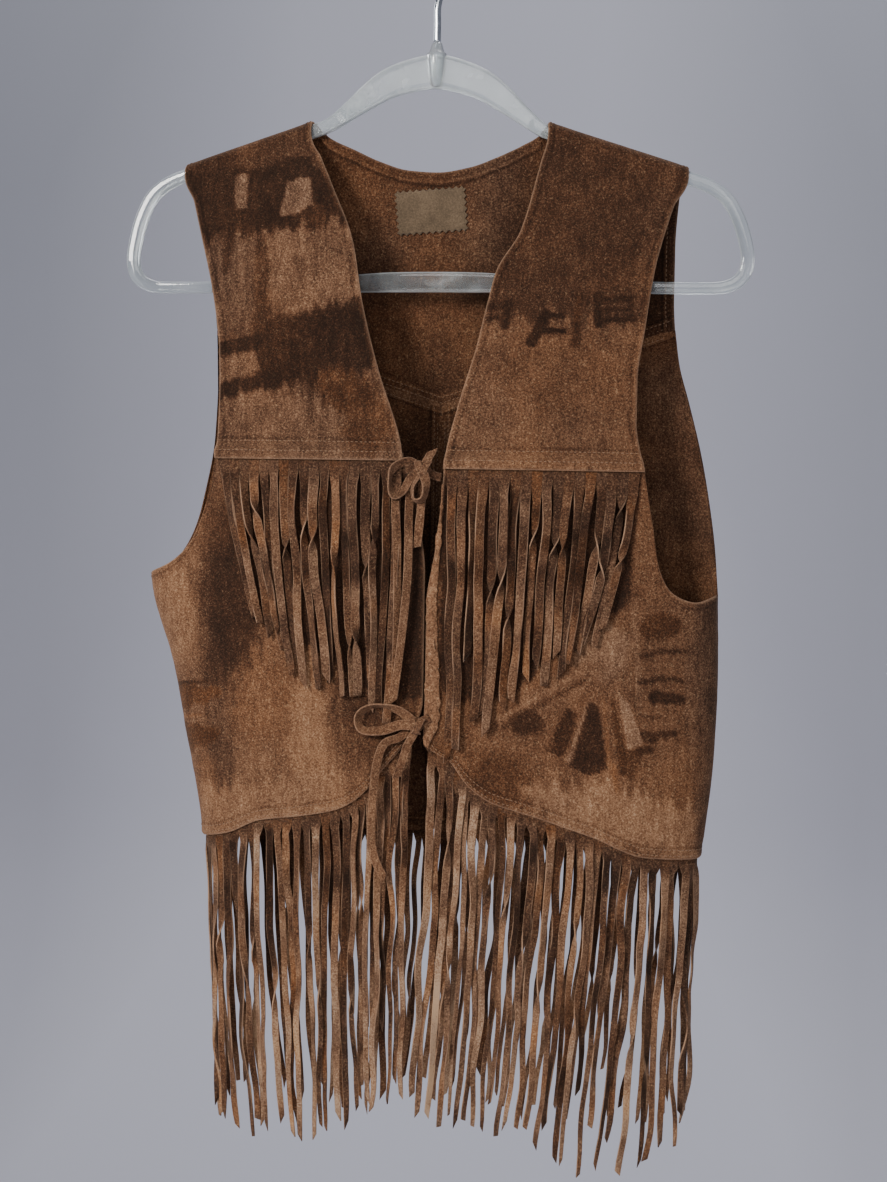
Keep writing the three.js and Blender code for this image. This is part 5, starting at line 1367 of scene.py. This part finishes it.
def front_edge_strip():
    """The raw flesh-side strip turned back along the wearer's left front edge."""
    top, low, full = -376, -555, 9.5
    z = mix(top, low, places(top - low, 1.2))[:, None]
    edge = front_edge_left(z)
    start = edge + 0.6
    t = places(full, 0.8, first=False, last=False)[None, :]
    width = np.minimum(full, 15.4 - start) * ease(0.35 + (top - z) / 14)
    width = width * mix(0.66, 1.0, ease((-440 - z) / 90)) * mix(1, 0.2, ease((-536 - z) / 19))
    x = start + t * width
    lap = FRONT_LAP * np.clip(1 - (x - edge) / EDGE_COLUMN, 0, 1) + SEAM_GAP + 0.6
    pile = 0.35 * hills(x, z, 2.2, 91) + 0.25 * hills(x, z, 1.1, 92)
    crown = 0.5 * np.sin(math.pi * np.clip(t, 0, 1)) ** 0.5
    ragged = (hills(z, x, 2.4, 93) + hills(z, x, 5, 97)) * (1 - 2 * (t > 0.5)) * (np.abs(t - 0.5) > 0.3)
    inner = body(x, z, -1)
    inner[..., 1] -= lap
    outer = inner.copy()
    outer[..., 0] += 0.7 * ragged
    outer[..., 1] -= 0.55 + crown + pile
    nap_and_shade = 0.42 + 0.4 * hills(x, z, 1.9, 94) + 0.25 * hills(x, z, 14, 95)
    attributes = {"NapAndShade": np.stack([nap_and_shade, nap_and_shade]), "Warm": np.full(nap_and_shade.size * 2, 0.55),
                  "CutAndGlint": np.full(nap_and_shade.size * 2, 0.1)}
    piece = make("front_edge_strip", np.stack([outer, inner]), shell_quads(*nap_and_shade.shape), ROUGH_LOOK,
                 attributes)
    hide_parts("front_edge_band")


def label():
    """The bare cloth label, its edges cut with pinking shears."""
    half_wide, half_tall, x0, z0, tilt, tooth = 25, 15.25, -4.2, -188.5, 0.07, 1.9
    columns, rows = np.arange(67)[None, :], np.arange(43)[:, None]
    a, b = 2 * half_wide * (columns / 66 - 0.5), 2 * half_tall * (0.5 - rows / 42)
    saw_a = tooth * np.abs(columns % 6 - 3) / 3 * np.abs(b / half_tall) ** 14
    saw_b = tooth * np.abs(rows % 6 - 3) / 3 * np.abs(a / half_wide) ** 14
    across, down = a * (1 - saw_b / half_wide), b * (1 - saw_a / half_tall)
    x = x0 + across * math.cos(tilt) - down * math.sin(tilt)
    z = z0 + down * math.cos(tilt) + across * math.sin(tilt)
    edge = np.maximum(np.abs(a) / half_wide, np.abs(b) / half_tall) > 0.93
    puff = 0.25 * hills(x, z, 9, 96) - 0.35 * edge
    outer = body(x, z, 1)
    outer[..., 1] -= SUEDE + SEAM_GAP + 0.4
    inner = outer.copy()
    inner[..., 1] -= 0.8 + puff
    piece = make("neck_label_cloth", np.stack([outer, inner]), shell_quads(43, 67), LABEL_LOOK)
    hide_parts("neck_label")


front_edge_strip()
label()


# ---- Hanger ------------------------------------------------------------------------------------

def upright(line):
    """Points in the hanger's own plane, from rows of x and z."""
    return np.stack([line[:, 0], 0 * line[:, 0], line[:, 1]], -1)


COLLAR = [  # radius, height
    (0.1, -108), (4, -107.6), (5.6, -100), (6.6, -92), (7, -87), (6.7, -85.4), (5.7, -84.6), (4.6, -82.5),
    (3.7, -79.4), (3.3, -78.2), (2.6, COLLAR_TOP), (0.1, COLLAR_TOP),
]


def hanger():
    """The clear frame, a rounded bar with a waist where it is wide, and its collar."""
    sides, collar_sides = 24, 28
    ring = HANGER + [(-x, z, w) for x, z, w in HANGER[1:-1][::-1]]
    x, z, w = np.array(ring, float).T
    sag = ARM_SAG * np.clip(x / SAG_AT, -1, 1) * ease((z + 232) / 50)
    line = smooth_line(np.stack([x, z - sag, w], -1), 10, closed=True)
    path = upright(line)
    wide = np.cross(unit(np.roll(path, -1, 0) - np.roll(path, 1, 0)), FORWARD)
    angles = np.linspace(0, 2 * math.pi, sides, endpoint=False)
    c, s = np.cos(angles), np.sin(angles)
    flat, thick = np.copysign(np.abs(c) ** 0.45, c), np.copysign(np.abs(s) ** 0.55, s)
    half_wide = line[:, 2:] / 2
    waist = np.where(half_wide > 5.2, 1 - 0.16 * ridge(flat, 0, 0.55), 1.0)
    a, b = flat * half_wide, thick * HANGER_THICK / 2 * waist
    points = path[:, None] + wide[:, None] * a[..., None] + FORWARD * b[..., None]
    turn = np.linspace(0, 2 * math.pi, collar_sides, endpoint=False)
    cup = np.array([[(r * math.cos(t), r * math.sin(t), z) for t in turn] for r, z in COLLAR])
    quads = np.concatenate([tube_quads(len(path), sides, True),
                            tube_quads(len(COLLAR), collar_sides) + len(path) * sides])
    # painted highlight along the bar's two edges
    rim = np.tile(ease((np.abs(flat) - 0.78) / 0.2), len(path))
    piece = make("hanger_clear", np.concatenate([points.reshape(-1, 3), cup.reshape(-1, 3)]), quads,
                 CLEAR_LOOK, {"CutAndGlint": np.concatenate([rim, np.zeros(cup.size // 3)])})
    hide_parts("hanger_frame")


def hook():
    """The chrome wire hook, its tip rounded off."""
    centre, sides = -19, 20
    rows = [(0, COLLAR_TOP + SEAM_GAP), (0, -66), (0, -54), (2.5, -46), (10, -40)]
    rows += [(HOOK_RADIUS * math.cos(math.radians(d)), centre + HOOK_RADIUS * math.sin(math.radians(d)))
             for d in range(-48, 201, 14)]
    path = upright(smooth_line(rows, 8))
    across = np.cross(unit(np.gradient(path, axis=0)), FORWARD)
    radius = np.full(len(path), HOOK_WIRE)
    radius[-4:] = HOOK_WIRE * np.array([0.97, 0.86, 0.6, 0.12])
    turn = np.linspace(0, 2 * math.pi, sides, endpoint=False)[:, None]
    around = across[:, None] * np.cos(turn) + FORWARD * np.sin(turn)
    points = path[:, None] + radius[:, None, None] * around
    piece = make("hanger_hook_wire", points, tube_quads(len(path), sides), CHROME_LOOK,
                 tris=[(0, k + 1, k) for k in range(1, sides - 1)])
    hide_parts("hanger_hook")


hanger()
hook()


# ---- Stage and light ---------------------------------------------------------------------------

def stage():
    """A paper backdrop that curves up from the floor."""
    floor, floor_end, bend = -1.9, 2.1, 0.8
    profile = [(-3.5, floor), (floor_end, floor)]
    profile += [(floor_end + bend * math.sin(a), floor + bend - bend * math.cos(a))
                for a in np.linspace(0, math.pi / 2, 12)[1:]]
    profile += [(floor_end + bend, 3.6)]
    points = [(x, y, z) for y, z in profile for x in (-5.0, 5.0)]
    faces = [(2 * i, 2 * i + 1, 2 * i + 3, 2 * i + 2) for i in range(len(profile) - 1)]
    mesh = bpy.data.meshes.new("backdrop")
    mesh.from_pydata(points, [], faces)
    mesh.polygons.foreach_set("use_smooth", np.ones(len(mesh.polygons), bool))
    sweep = bpy.data.objects.new("backdrop", mesh)
    bpy.context.scene.collection.objects.link(sweep)
    g = Graph("backdrop_paper")
    place = g.axes()
    # painted light falloff: the paper is lighter towards the floor and around x = -0.4 m, and darker upwards
    # and to the sides
    edge = g.span(g.maths("ABSOLUTE", g.maths("ADD", place["X"], 0.4)), 0.35, 0.95, -0.4, 0.1)
    rise = g.plus(g.maths("MULTIPLY_ADD", place["Z"], 0.414, 0.713), g.noise(1.8, 4.0, 0.6), 0.1)
    rise = g.maths("ADD", rise, edge)
    stops = [(0.0, colour(214, 214, 224)), (0.45, colour(184, 184, 194)), (1.0, colour(160, 161, 170))]
    skin = g.ramp(rise, stops)
    mesh.materials.append(g.shade(Base_Color=skin, Roughness=0.95, Specular_IOR_Level=0.1))


def area_light(name, place, aim, size, power, tint):
    data = bpy.data.lights.new(name, "AREA")
    data.shape, data.size, data.energy, data.color = "SQUARE", size, power, tint
    lamp = bpy.data.objects.new(name, data)
    bpy.context.scene.collection.objects.link(lamp)
    lamp.location = place
    lamp.rotation_euler = (Vector(aim) - Vector(place)).to_track_quat("-Z", "Y").to_euler()


stage()
area_light("key", (-1.0, -1.7, 0.25), (0, 0, -0.6), 0.55, 34, (1.0, 0.96, 0.91))
area_light("low_fill", (0.7, -1.8, -0.9), (0, 0, -0.7), 1.0, 6, (1.0, 0.96, 0.92))
area_light("front_window", (0, -3.2, 0.86), (0.1, 0, -0.3), 1.2, 14, (1.0, 0.98, 0.96))
area_light("rim_left", (-1.4, 0.7, 0.2), (0, 0, -0.45), 0.8, 6, (0.94, 0.96, 1.0))
area_light("backdrop_wash", (0, 1.0, 2.2), (0, 2.9, -0.8), 1.4, 50, (0.97, 0.98, 1.0))
world = bpy.data.worlds.new("studio")
world.use_nodes = True
sky = world.node_tree.nodes["Background"].inputs
sky["Color"].default_value = colour(196, 200, 212)
sky["Strength"].default_value = 0.4
bpy.context.scene.world = world
